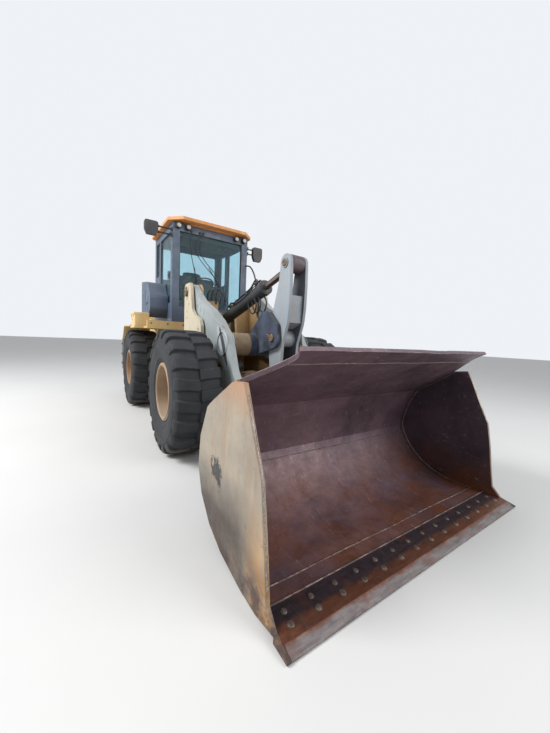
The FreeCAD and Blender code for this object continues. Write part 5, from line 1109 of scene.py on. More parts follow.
def rod_with_eye(name, eye, radius):
    """Chrome that turns to dark paint within a radius of the eye's pin, an (x, z) place."""
    look = Look(name, 0.2)
    away = look.vector("DISTANCE", look.stretched(1.0, 0.0, 1.0), at_pin(eye))
    forged = look.spread(away, radius, radius + 0.004, 1.0, 0.0)
    marks = look.streaks((4.0, 60.0, 60.0), 0.4, 0.75, 5.0, 0.6)
    shaft = look.mix(marks, rgb(158, 140, 136), rgb(112, 96, 94))
    rusty = look.mix(look.clouds(0.42, 0.66, 16.0, 6.0, 0.7), rgb(50, 50, 54), rgb(96, 72, 58))
    look.set("Base Color", look.mix(forged, shaft, rusty))
    look.set("Metallic", look.spread(forged, 0.0, 1.0, 0.9, 0.15))
    look.set("Roughness", look.spread(forged, 0.0, 1.0, 0.24, 0.6))
    look.set("Normal", look.rounded(0.003))
    return look.material


for node, eye, radius in (("tilt_rod", TILT_EYE, 0.135), ("lift_rods", LIFT_EYE, 0.11)):
    frame["nodes"][node].data.materials[0] = rod_with_eye(node + "_finish", eye, radius)


# Pins: end caps with keeper plates and bolts

def pin_end(metal, bolts, node, pin, side, radius, keeper):
    """Cap on a pin's end, found by a ray from outside; keeper is the plate's angle in degrees, or None."""
    place = strike(surface(node), at_pin(pin, side * 1.4) + Vector((radius * 0.4, 0, 0)), (0, -side, 0))
    if not place:
        return
    base, out = at_pin(pin, place.y), (0, side, 0)
    add_lathe(metal, base, out, ((radius * 0.98, -0.002), (radius * 0.98, 0.004), (radius * 0.86, 0.009),
                                 (radius * 0.34, 0.009), (radius * 0.28, 0.005), (0.0, 0.005)), 32)
    if keeper is None:
        return
    turn = turned(keeper, "Y")
    centre = base + turn @ Vector((radius * 1.25, 0.0, 0.0)) + Vector((0, side * 0.004, 0))
    half = Vector((radius * 1.05, 0.006, radius * 0.42))
    add_box(metal, centre - half, centre + half, 0.002, turn)
    for along in (0.70, 1.85):
        add_bolt(
            bolts, base + turn @ Vector((radius * along, side * 0.009, 0.0)), out, radius * 0.2, radius * 0.2)


PIN_ENDS = {
    "front_frame": (("frame_pins", ARM_PIN, 0.045, -60), ("frame_pins", LIFT_BASE, 0.032, 20)),
    "lift_arms": (("crank_pin", CRANK_PIN, 0.045, 200),),
    "bellcrank": (("bellcrank", TILT_EYE, 0.042, None), ("bellcrank", LINK_BASE, 0.042, None)),
    "bucket": (("bucket_pins", BUCKET_PIN, 0.045, 60), ("bucket_pins", LINK_END, 0.032, None)),
}
for body, rows in PIN_ENDS.items():
    metal, bolts = bmesh.new(), bmesh.new()
    for node, pin, radius, keeper in rows:
        for side in SIDES:
            pin_end(metal, bolts, node, pin, side, radius, keeper)
    finished("pin_caps_" + body, metal, PIN_STEEL, body, 40.0)
    if bolts.faces:
        finished("pin_bolts_" + body, bolts, BOLT_STEEL, body)


# Lift arms, bellcrank and towers: welds, bosses, hose runs, bolts

# The photograph's camera: place, directions, and focal length and middle in its pixels
EYE = Vector((4.586, -2.020, 1.429))
EYE_AHEAD = Vector((-0.8306, 0.5493, -0.0919)).normalized()
EYE_RIGHT = EYE_AHEAD.cross(Vector((-0.1014, 0.0131, 0.9948))).normalized()
EYE_UP = EYE_RIGHT.cross(EYE_AHEAD)
FOCAL, MIDDLE_U, MIDDLE_V = 296.5, 275, 366.5
TOWER_FACE = 0.660


def on_face(u, v, y):
    """The place on a plane of constant y that the photograph's camera sees at a pixel."""
    ray = EYE_AHEAD + EYE_RIGHT * ((u - MIDDLE_U) / FOCAL) + EYE_UP * ((MIDDLE_V - v) / FOCAL)
    return EYE + ray * ((y - EYE.y) / ray.y)


def arm_dressing():
    mesh, covers = bmesh.new(), bmesh.new()
    weld_line = [on_face(u, v, -ARM_FACE) for u, v in ((206, 311), (211, 317), (217, 322), (223, 326))]
    for side in SIDES:
        out = (0, side, 0)
        for face, direction in ((0.5055, -side), (0.5945, side)):
            add_hoop(mesh, (1.27, side * face, 1.345), (0, direction, 0), (
                (0.139, 0.0), (0.154, 0.0), (0.150, 0.007), (0.139, 0.012)), 64)
        add_bead(mesh, [Vector((p.x, side * 0.5955, p.z)) for p in weld_line], 0.006, 8)
        for pin, radius in ((ARM_PIN, 0.098), (BUCKET_PIN, 0.092)):
            add_hoop(mesh, at_pin(pin, side * ARM_FACE), out, (
                (radius - 0.008, -0.001), (radius + 0.004, -0.001), (radius, 0.006), (radius - 0.006, 0.006)),
                48)
        add_lathe(covers, at_pin(LIFT_EYE, side * 0.596), out, (
            (0.052, -0.002), (0.052, 0.006), (0.044, 0.012), (0.0, 0.012)), 36)
        for ahead, up in circle(0.034, 4, FULL_TURN / 8):
            add_bolt(covers, (LIFT_EYE[0] + ahead, side * 0.6075, LIFT_EYE[1] + up), out, 0.007, 0.008)
    finished("arm_welds", mesh, ARM_PAINT, "lift_arms", 50.0)
    finished("arm_pin_covers", covers, PIN_STEEL, "lift_arms", 40.0)


def loop_hoses():
    """Short hoses with both ends on one body: over the tower, and under the tilt cylinder's gland."""
    mesh, clamps = bmesh.new(), bmesh.new()
    for index, y in enumerate((-0.31, -0.24, -0.17)):
        start, end = Vector((-0.04, y, 2.02)), Vector((0.20, y + 0.05, 1.94))
        rise = 0.02 * index
        add_curve(mesh, [
            start, start + Vector((0.0, 0.0, 0.06)), start + Vector((0.05, 0.01, 0.11 + rise)),
            start + Vector((0.13, 0.03, 0.09 + rise)), end + Vector((0.0, 0.0, 0.09)), end], 8, 0.011, 12)
        for spot in (start, end):
            add_lathe(
                clamps, spot + Vector((0, 0, -0.02)), UP, ((0.019, 0.0), (0.019, 0.04), (0.015, 0.046)), 6)
    finished("tower_hoses", mesh, HOSE_RUBBER, "front_frame", 60.0)
    finished("tower_hose_ends", clamps, LINE_STEEL, "front_frame", 40.0)
    mesh = bmesh.new()
    for index, side in enumerate((-0.072, -0.030, 0.035)):
        along = 1.05 + 0.045 * index
        TILT.pipe(mesh, (
            (along, side, -0.074), (along + 0.03, side, -0.13), (along + 0.03, side, -0.20),
            (along - 0.03, side, -0.262), (along - 0.10, side, -0.255), (along - 0.16, side, -0.17),
            (along - 0.17, side, -0.10), (along - 0.16, side, -0.074)), 0.0095, 10)
    finished("gland_hoses", mesh, HOSE_RUBBER, "tilt_barrel", 60.0)


def tilt_rod_eye():
    """Forged head of the tilt rod between the bellcrank's plates."""
    mesh = bmesh.new()
    for inner, outer, low, high in (
            (0.050, 0.098, -0.081, -0.0768), (0.050, 0.098, 0.0768, 0.081), (0.070, 0.099, -0.0775, 0.0775)):
        add_hoop(
            mesh, at_pin(TILT_EYE), (0, 1, 0), ((inner, low), (outer, low), (outer, high), (inner, high)), 48)
    finished("tilt_rod_head", mesh, EYE_PAINT, "tilt_rod", 40.0)


def tower_bolts():
    """Bolt holes down the towers' outer faces, at the pixels where the photograph shows them."""
    mesh, dark = bmesh.new(), bmesh.new()
    for u, v, radius in ((187, 292, 0.014), (187, 299, 0.012), (189, 304, 0.011), (187, 311, 0.010),
                         (187, 318, 0.010), (198, 329, 0.013)):
        spot = on_face(u, v, -TOWER_FACE)
        for side in SIDES:
            place, out = Vector((spot.x, side * (TOWER_FACE - 0.0002), spot.z)), (0, side, 0)
            add_lathe(dark, place, out, ((radius, 0.0), (radius, 0.0012), (0.0, 0.0012)), 20)
            add_hoop(mesh, place, out, (
                (radius, 0.0), (radius * 1.5, 0.0), (radius * 1.4, 0.003), (radius * 1.05, 0.003)), 24)
    finished("tower_hole_rims", mesh, FRAME_PAINT, "front_frame", 40.0)
    finished("tower_hole_shadows", dark, SEAL_RUBBER, "front_frame")


arm_dressing()
loop_hoses()
tilt_rod_eye()
tower_bolts()


# Cab: seals, wipers, rails, handles, lamps, mirrors, lining and controls

FRONT_X, REAR_X, SIDE_Y = -0.68, -2.02, 0.70
WINDOW_TOP, FRONT_SILL, REAR_SILL, DOOR_SILL = 3.178, 1.915, 2.545, 1.986
# Just under the top of the deck's plate
DECK_TOP = 1.5495


def add_rounded_loop(mesh, corners, radius, sides=8):
    """A closed bar of round section through corner points."""
    corners = [Vector(c) for c in corners]
    path = []
    for before, here, after in zip([corners[-1]] + corners[:-1], corners, corners[1:] + corners[:1]):
        inward, outward = (before - here).normalized(), (after - here).normalized()
        reach = min(0.035, (before - here).length / 3, (after - here).length / 3)
        path += [here + inward * reach, here + (inward + outward) * reach * 0.3, here + outward * reach]
    path += path[:2]
    add_tube(mesh, path, radius, sides)


def add_side_loop(mesh, y, low_x, high_x, low_z, high_z, radius):
    add_rounded_loop(
        mesh, [(low_x, y, low_z), (high_x, y, low_z), (high_x, y, high_z), (low_x, y, high_z)], radius)


def seals():
    mesh = bmesh.new()
    for x, sill in ((FRONT_X - 0.022, FRONT_SILL), (FRONT_X - 0.034, FRONT_SILL), (REAR_X + 0.022, REAR_SILL)):
        add_rounded_loop(mesh, [(x, y, z) for y, z in (
            (-0.578, sill), (0.578, sill), (0.578, WINDOW_TOP), (-0.578, WINDOW_TOP))], 0.011)
    for side, low_x, high_x, sill in (
            (-1, -1.548, -0.802, DOOR_SILL), (-1, -1.898, -1.612, REAR_SILL), (1, -1.898, -1.612, REAR_SILL)):
        add_side_loop(mesh, side * (SIDE_Y - 0.022), low_x, high_x, sill, WINDOW_TOP, 0.011)
    finished("cab_window_seals", mesh, SEAL_RUBBER, "rear_frame", 60.0)
    mesh = bmesh.new()
    for low_z, high_z, inset in ((DOOR_SILL, 3.149, 0.07), (node_low("door_glass").z + 0.004, 1.925, 0.12)):
        add_side_loop(mesh, SIDE_Y - 0.022, -1.544 + inset, -0.806 - inset, low_z, high_z, 0.009)
    finished("door_window_seals", mesh, SEAL_RUBBER, "cab_door", 60.0)


def wipers():
    """Two wiper arms hung from the header, and their blades, just ahead of the windscreen."""
    x = FRONT_X - 0.012
    mesh, blades = bmesh.new(), bmesh.new()
    for head, elbow, low, blade in (
        ((-0.385, 3.21), (-0.385, 2.851), (-0.268, 2.357), ((-0.315, 2.62), (-0.262, 2.18))),
        ((-0.235, 3.21), (-0.296, 2.868), (0.086, 2.460), ((-0.06, 2.66), (0.155, 2.34))),
        ((-0.175, 3.21), (-0.225, 2.882), (0.124, 2.502), None),
    ):
        add_curve(mesh, [(FRONT_X + 0.004, head[0], head[1]), (x + 0.020, head[0], head[1] - 0.03),
                         (x + 0.014, elbow[0], elbow[1]), (x + 0.008, low[0], low[1])], 6, 0.0065, 8)
        add_lathe(mesh, (FRONT_X - 0.002, head[0], head[1]), (1, 0, 0), (
            (0.022, 0.0), (0.022, 0.018), (0.014, 0.026), (0.0, 0.026)), 20)
        if blade:
            (y0, z0), (y1, z1) = blade
            add_tube(blades, [(x - 0.002, y0, z0), (x - 0.002, y1, z1)], 0.007, 6)
            add_tube(blades, [(x + 0.006, y0 * 0.75 + y1 * 0.25, z0 * 0.75 + z1 * 0.25),
                              (x + 0.010, (y0 + y1) / 2, (z0 + z1) / 2),
                              (x + 0.006, y0 * 0.25 + y1 * 0.75, z0 * 0.25 + z1 * 0.75)], 0.005, 6)
    finished("wiper_arms", mesh, TRIM_PLASTIC, "rear_frame")
    finished("wiper_blades", blades, SEAL_RUBBER, "rear_frame")


def rails():
    mesh = bmesh.new()
    add_curve(mesh, [(-0.70, 0.664, 2.795), (-0.665, 0.70, 2.81), (-0.655, 0.774, 2.794), (-0.655, 0.85, 2.69),
                     (-0.655, 0.896, 2.561), (-0.655, 0.925, 2.45), (-0.655, 0.905, 2.36),
                     (-0.655, 0.83, 2.30), (-0.67, 0.73, 2.285), (-0.70, 0.664, 2.285)], 6, 0.014, 12)
    add_curve(mesh, [(-1.72, 0.69, 1.95), (-1.72, 0.762, 1.99), (-1.72, 0.768, 2.10), (-1.72, 0.768, 2.42),
                     (-1.72, 0.762, 2.50), (-1.72, 0.69, 2.53)], 6, 0.014, 12)
    for x in (-1.155, -0.91):
        add_curve(mesh, [(x, 1.085, 1.548), (x, 1.085, 1.70), (x, 1.080, 1.92), (x, 1.06, 2.005),
                         (x, 0.99, 2.02), (x, 0.955, 1.96), (x, 0.95, 1.80), (x, 0.95, 1.548)], 6, 0.016, 12)
    finished("grab_rails", mesh, DARK_PAINT, "rear_frame", 60.0)
    mesh = bmesh.new()
    for x, y in ((-1.155, 1.085), (-0.91, 1.085), (-1.155, 0.95), (-0.91, 0.95)):
        add_lathe(
            mesh, (x, y, DECK_TOP), UP, ((0.034, 0.0), (0.034, 0.008), (0.020, 0.012), (0.016, 0.012)), 20)
    finished("grab_rail_feet", mesh, DARK_PAINT, "rear_frame")


def door_fittings():
    mesh = bmesh.new()
    add_box(mesh, (-0.925, 0.7005, 2.36), (-0.845, 0.712, 2.56), 0.005)
    add_curve(mesh, [(-0.885, 0.705, 2.39), (-0.885, 0.742, 2.40), (-0.885, 0.748, 2.46),
                     (-0.885, 0.742, 2.52), (-0.885, 0.705, 2.53)], 6, 0.009, 10)
    add_lathe(mesh, (-0.865, 0.711, 2.375), (0, 1, 0), (
        (0.012, 0.0), (0.012, 0.004), (0.008, 0.006), (0.0, 0.006)), 16)
    add_curve(mesh, [(-1.50, 0.652, 2.15), (-1.50, 0.60, 2.17), (-1.48, 0.595, 2.35), (-1.48, 0.60, 2.53),
                     (-1.50, 0.652, 2.55)], 6, 0.011, 10)
    finished("door_handle", mesh, TRIM_PLASTIC, "cab_door")
    mesh = bmesh.new()
    add_boxes(mesh, ((-0.865, -0.7145, 2.40), (-0.835, -0.7005, 2.52), 0.005),
              ((-0.905, -0.7265, 2.44), (-0.845, -0.7105, 2.475), 0.005))
    finished("right_window_latch", mesh, TRIM_PLASTIC, "rear_frame")


def lamps():
    """Bezels and lenses on the roof lamps; lamps in the visor's shade and at the rear."""
    bezels, lenses = bmesh.new(), bmesh.new()
    for y in (-0.61, -0.45, 0.45, 0.61):
        add_hoop(bezels, (-0.622, y, 3.25), (1, 0, 0), (
            (0.037, 0.0), (0.0455, 0.0), (0.0455, 0.008), (0.040, 0.012), (0.037, 0.008)), 36)
        add_lathe(lenses, (-0.621, y, 3.25), (1, 0, 0), (
            (0.037, 0.0), (0.036, 0.004), (0.026, 0.009), (0.012, 0.0115), (0.0, 0.012)), 32)
    for y in (-0.52, 0.52):
        add_box(bezels, (-2.06, y - 0.07, 3.19), (-2.02, y + 0.07, 3.285), 0.01)
        add_lathe(lenses, (-2.059, y, 3.2375), (-1, 0, 0), (
            (0.036, 0.0), (0.034, 0.004), (0.02, 0.008), (0.0, 0.010)), 28)
    finished("lamp_bezels", bezels, TRIM_PLASTIC, "rear_frame")
    finished("lamp_lenses", lenses, CLEAR_LENS, "rear_frame")


def mirror_faces():
    mesh, joints = bmesh.new(), bmesh.new()
    for side, inner, width, low, high in ((1, 0.83, 0.20, 2.943, 3.198), (-1, 0.93, 0.21, 3.028, 3.240)):
        add_side_box(mesh, side, (-0.744, inner + 0.014, low + 0.055), (-0.739, inner + width - 0.014,
                                                                        high - 0.016), 0.002)
        for z in (high - 0.06, high - 0.15):
            add_lathe(joints, (-0.705, side * (inner + 0.005), z), (0, -side, 0), (
                (0.020, -0.01), (0.020, 0.02), (0.014, 0.028)), 16)
            add_side_box(joints, side, (-0.735, 0.700, z - 0.03), (-0.675, 0.724, z + 0.03), 0.004)
    finished("mirror_faces", mesh, MIRROR_GLASS, "rear_frame")
    finished("mirror_joints", joints, TRIM_PLASTIC, "rear_frame")


def lining():
    """Dark headliner, sun blind, dashboard shelf, side shelf and floor mat inside the cab."""
    for name, material, slot, rows in (
        ("cab_headliner", LINING, None, (
            ((-1.968, -0.648, 3.285), (-0.732, 0.648, 3.2998), 0.003),
            ((-0.78, -0.60, 3.10), (-0.735, 0.60, 3.29), 0.012),
            ((-1.968, -0.62, 2.50), (-1.90, 0.62, 2.545), 0.01))),
        ("cab_shelves", TRIM_PLASTIC, "trim_plastic", (
            ((-0.90, -0.60, 1.86), (-0.733, 0.60, 1.935), 0.02),
            ((-0.80, -0.56, 1.70), (-0.733, 0.56, 1.88), 0.01),
            ((-1.93, -0.645, 1.66), (-0.95, -0.40, 2.06), 0.03),
            ((-1.50, -0.60, 2.05), (-1.15, -0.43, 2.16), 0.02))),
        ("cab_mat", SEAL_RUBBER, None, [((-1.96, -0.40, 1.6508), (-0.735, 0.64, 1.660), 0.003)] + [
            ((-1.94 + 0.085 * i, -0.38, 1.659), (-1.90 + 0.085 * i, 0.62, 1.665), 0.002) for i in range(14)]),
    ):
        mesh = bmesh.new()
        add_boxes(mesh, *rows)
        finished(name, mesh, material, "rear_frame")


def controls():
    mesh = bmesh.new()
    y = -0.52
    for index, x in enumerate((-1.22, -1.30, -1.38)):
        top = Vector((x + 0.02, y + 0.01, 2.34 - 0.02 * index))
        add_curve(mesh, [(x, y, 2.155), (x + 0.004, y, 2.24), top], 4, 0.007, 8)
        add_lathe(mesh, top - Vector((0, 0, 0.015)), (0.1, 0, 1), (
            (0.010, 0.0), (0.020, 0.012), (0.024, 0.035), (0.016, 0.052), (0.0, 0.057)), 16)
        add_lathe(mesh, (x, y, 2.155), UP, ((0.034, 0.0), (0.028, 0.012), (0.020, 0.020), (0.012, 0.034)), 16)
    for y in (-0.14, 0.13):
        add_box(mesh, (-0.98, y - 0.045, 1.70), (-0.90, y + 0.045, 1.715), 0.004, turned(-38, "Y"))
        add_tube(mesh, [(-0.93, y, 1.72), (-0.86, y, 1.80)], 0.011, 8)
    add_curve(mesh, [(-1.06, 0.075, 2.40), (-1.05, 0.15, 2.42), (-1.06, 0.235, 2.44)], 4, 0.007, 8)
    add_lathe(mesh, (-1.06, 0.225, 2.44), (0, 1, 0.1), (
        (0.007, 0.0), (0.014, 0.01), (0.014, 0.045), (0.0, 0.052)), 12)
    finished("cab_levers", mesh, TRIM_PLASTIC, "rear_frame")

    mesh = bmesh.new()
    add_box(mesh, (-1.075, -0.155, 2.375), (-1.03, 0.155, 2.50), 0.014, turned(18, "Y"))
    add_box(mesh, (-0.79, -0.56, 2.26), (-0.755, -0.36, 2.46), 0.012)
    add_tube(mesh, [(-0.772, -0.53, 2.05), (-0.772, -0.53, 2.28)], 0.012, 10)
    finished("cab_displays", mesh, LINING, "rear_frame")
    mesh = bmesh.new()
    for x, y, outer, inner, count in ((-1.083, -0.085, 0.042, 0.036, 28), (-1.083, 0.085, 0.042, 0.036, 28),
                                      (-1.082, 0.0, 0.024, 0.020, 24)):
        add_lathe(mesh, (x, y, 2.442), (-0.95, 0, 0.31), (
            (outer, 0.0), (outer, 0.006), (inner, 0.008), (0.0, 0.008)), count)
    finished("cab_gauges", mesh, CLEAR_LENS, "rear_frame")


def soft_block(name, low, high, pull, channels=(), taper=0.0):
    """A crowned cushion between two corners: sides pull in between its corners, sewn channels sink."""
    mesh = bmesh.new()
    low, high = Vector(low), Vector(high)
    size, centre = high - low, (low + high) / 2
    bmesh.ops.create_cube(mesh, size=1.0)
    bmesh.ops.subdivide_edges(mesh, edges=mesh.edges[:], cuts=11, use_grid_fill=True)
    for vert in mesh.verts:
        unit = vert.co * 2.0
        rounder = Vector((
            unit.x * math.sqrt(max(0.0, 1 - unit.y ** 2 * 0.16 - unit.z ** 2 * 0.22)),
            unit.y * math.sqrt(max(0.0, 1 - unit.x ** 2 * 0.16 - unit.z ** 2 * 0.22)),
            unit.z * math.sqrt(max(0.0, 1 - unit.x ** 2 * pull - unit.y ** 2 * pull))))
        narrow = 1.0 - taper * (rounder.z + 1) / 2
        vert.co = Vector((centre.x + rounder.x * size.x / 2, centre.y + rounder.y * size.y * narrow / 2,
                          centre.z + rounder.z * size.z / 2))
    for vert in mesh.verts:
        for axis, place, width, depth in channels:
            gap = abs(vert.co[axis] - place)
            if gap < width:
                vert.co -= (vert.co - centre).normalized() * depth * (1 - gap / width)
        vert.co += noise.noise_vector(vert.co * 7.0) * 0.004
    bmesh.ops.recalc_face_normals(mesh, faces=mesh.faces)
    piece = finished(name, mesh, SEAT_FABRIC, "rear_frame", 180.0)
    smooth = piece.modifiers.new("smooth", "SUBSURF")
    smooth.levels = smooth.render_levels = 1
    return piece


def seat():
    cushion = soft_block("seat_cushion", (-1.91, -0.258, 2.045), (-1.402, 0.258, 2.172), 0.30, (
        (1, -0.17, 0.022, 0.012), (1, 0.17, 0.022, 0.012), (0, -1.62, 0.02, 0.007)))
    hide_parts("operator_seat")
    back = soft_block("seat_back", (-1.928, -0.256, 2.15), (-1.79, 0.256, 2.757), 0.10, (
        (1, -0.165, 0.022, 0.010), (1, 0.165, 0.022, 0.010), (2, 2.40, 0.022, 0.010)), 0.20)
    for side in SIDES:
        rest = soft_block("seat_arm_pad_" + ("left" if side > 0 else "right"),
                          (-1.86, side * 0.30 - 0.04, 2.335), (-1.53, side * 0.30 + 0.04, 2.395), 0.18)
    mesh = bmesh.new()
    for side in SIDES:
        add_curve(mesh, [(-1.87, side * 0.245, 2.22), (-1.865, side * 0.29, 2.26), (-1.85, side * 0.30, 2.35)],
                  5, 0.014, 10)
    add_box(mesh, (-1.91, -0.21, 2.005), (-1.44, 0.21, 2.062), 0.012)
    add_box(mesh, (-1.85, -0.19, 1.6505), (-1.49, 0.19, 1.70), 0.01)
    for index in range(6):
        z = 1.70 + 0.052 * index
        ring = 0.006 if index % 2 else 0.0
        add_box(mesh, (-1.84 + ring, -0.175 + ring, z), (-1.50 - ring, 0.175 - ring, z + 0.048), 0.014)
    finished("seat_frame", mesh, TRIM_PLASTIC, "rear_frame")


seals()
wipers()
rails()
door_fittings()
lamps()
mirror_faces()
lining()
controls()
seat()


# Rear body: hood louvres, latches, seams, lamps, grille mesh, stacks, weight, deck and steps

HOOD_Y = 0.6402


def hood_dressing():
    mesh, dark = bmesh.new(), bmesh.new()
    for side in SIDES:
        for low_x, high_x in ((-2.50, -2.16), (-3.08, -2.62)):
            # Dark panels behind the louvres: painted shade in their openings.
            add_side_box(
                dark, side, (low_x - 0.02, HOOD_Y - 0.001, 1.62), (high_x + 0.02, HOOD_Y + 0.0012, 2.02))
            for index in range(11):
                z = 1.65 + 0.034 * index
                add_side_box(
                    mesh, side, (low_x, HOOD_Y + 0.001, z - 0.012), (high_x, HOOD_Y + 0.007, z + 0.016), 0.002,
                    turned(32 * side, "X"))
        for low_x, high_x, low_z, high_z in (
                (-2.577, -2.573, 1.33, 2.19), (-3.162, -3.158, 1.33, 2.19), (-3.54, -2.07, 1.566, 1.570)):
            add_side_box(dark, side, (low_x, HOOD_Y - 0.001, low_z), (high_x, HOOD_Y + 0.0014, high_z))
    finished("hood_louvres", mesh, HOOD_PAINT, "rear_frame", 40.0)
    finished("hood_seams_and_louvre_shade", dark, SEAL_RUBBER, "rear_frame")

    mesh, bolts = bmesh.new(), bmesh.new()
    for side in SIDES:
        for x in (-2.20, -2.95):
            add_side_box(mesh, side, (x - 0.055, 0.640, 1.50), (x + 0.055, 0.650, 1.545), 0.003)
            add_curve(mesh, [(x + ahead, side * y, 1.52) for ahead, y in (
                (-0.04, 0.648), (-0.036, 0.672), (0.036, 0.672), (0.04, 0.648))], 3, 0.006, 8)
        for index in range(8):
            add_bolt(bolts, (-2.12 - 0.19 * index, side * 0.6395, 1.345), (0, side, 0), 0.010, 0.010)
    for y in (-0.30, 0.30):
        add_lathe(mesh, (-2.75, y, node_high("engine_hood").z - 0.062), UP, (
            (0.03, 0.0), (0.03, 0.01), (0.0, 0.012)), 20)
    finished("hood_latches", mesh, TRIM_PLASTIC, "rear_frame")
    finished("hood_bolts", bolts, BOLT_STEEL, "rear_frame")


def grille_dressing():
    mesh = bmesh.new()
    low, high = node_low("grille_door"), node_high("grille_door")
    x = high.x - 0.006
    for index in range(40):
        y = -0.53 + 1.06 * index / 39
        add_box(mesh, (x - 0.003, y - 0.0025, low.z + 0.055), (x, y + 0.0025, high.z - 0.055))
    for index in range(30):
        z = low.z + 0.06 + (high.z - low.z - 0.12) * index / 29
        add_box(mesh, (x - 0.006, -0.54, z - 0.0025), (x - 0.003, 0.54, z + 0.0025))
    finished("grille_mesh", mesh, TRIM_PLASTIC, "grille_door")
    mesh = bmesh.new()
    door = surface("grille_door")
    rear = strike(door, (-3.8, -0.569, 1.79), (1, 0, 0)).x
    add_box(mesh, (rear - 0.012, -0.592, 1.72), (rear + 0.001, -0.546, 1.86), 0.004)
    add_curve(mesh, [
        (rear - 0.008, -0.569, 1.735), (rear - 0.036, -0.569, 1.745), (rear - 0.041, -0.569, 1.79),
        (rear - 0.036, -0.569, 1.835), (rear - 0.008, -0.569, 1.845)], 5, 0.008, 10)
    finished("grille_handle", mesh, TRIM_PLASTIC, "grille_door")
    bolts = bmesh.new()
    for y in (-0.569, 0.565):
        for z in (1.38, 1.60, 1.97, 2.14):
            add_bolt(bolts, strike(door, (-3.8, y, z), (1, 0, 0)), (-1, 0, 0), 0.009, 0.008)
    finished("grille_bolts", bolts, BOLT_STEEL, "grille_door")


def tail_lamps():
    housings, red, amber, clear = bmesh.new(), bmesh.new(), bmesh.new(), bmesh.new()
    for side in SIDES:
        add_side_box(housings, side, (-3.50, 0.66, 1.300), (-3.40, 0.86, 1.445), 0.012)
        for y, width, lens in ((0.72, 0.030, amber), (0.79, 0.030, red), (0.84, 0.018, clear)):
            add_side_box(lens, side, (-3.512, y - width, 1.325), (-3.498, y + width, 1.42), 0.005)
    finished("tail_lamp_housings", housings, TRIM_PLASTIC, "rear_frame")
    for colour, mesh, material in (
            ("red", red, RED_LENS), ("amber", amber, AMBER_LENS), ("clear", clear, CLEAR_LENS)):
        finished("tail_lamp_" + colour, mesh, material, "rear_frame")


def stacks():
    """Bands and guard bars on the exhaust, ribs and lid on the air cleaner."""
    mesh, axis = bmesh.new(), middle("exhaust_stack")
    for z in (2.352, 2.42, 2.79):
        add_hoop(
            mesh, (axis.x, axis.y, z), UP, ((0.0605, 0.0), (0.068, 0.0), (0.068, 0.022), (0.0605, 0.022)), 36)
    for x, y in circle(0.07, 5):
        add_tube(mesh, [(axis.x + x, axis.y + y, z) for z in (2.45, 2.77)], 0.004, 6)
    finished("exhaust_bands", mesh, EXHAUST_STEEL, "rear_frame")
    mesh, axis = bmesh.new(), middle("air_cleaner")
    for z in (2.475, 2.52, 2.565, 2.61):
        add_hoop(
            mesh, (axis.x, axis.y, z), UP, ((0.118, -0.004), (0.124, 0.0), (0.124, 0.012), (0.118, 0.016)), 48)
    add_lathe(mesh, (axis.x, axis.y, 2.648), UP, (
        (0.118, -0.004), (0.112, 0.010), (0.085, 0.022), (0.03, 0.027), (0.02, 0.034), (0.0, 0.035)), 48)
    for ahead, across in circle(0.1195, 24):
        x, y = axis.x + ahead, axis.y + across
        add_box(mesh, (x - 0.004, y - 0.004, 2.478), (x + 0.004, y + 0.004, 2.612), 0.001)
    finished("air_cleaner_ribs", mesh, TRIM_PLASTIC, "rear_frame")


def add_tread(mesh, x, y, low, number):
    """One raised bar of a tread pattern; bars with odd numbers lean the other way."""
    turn = turned(45 if number % 2 else -45, "Z")
    add_box(mesh, (x - 0.015, y - 0.004, low), (x + 0.015, y + 0.004, low + 0.003), 0.0, turn)


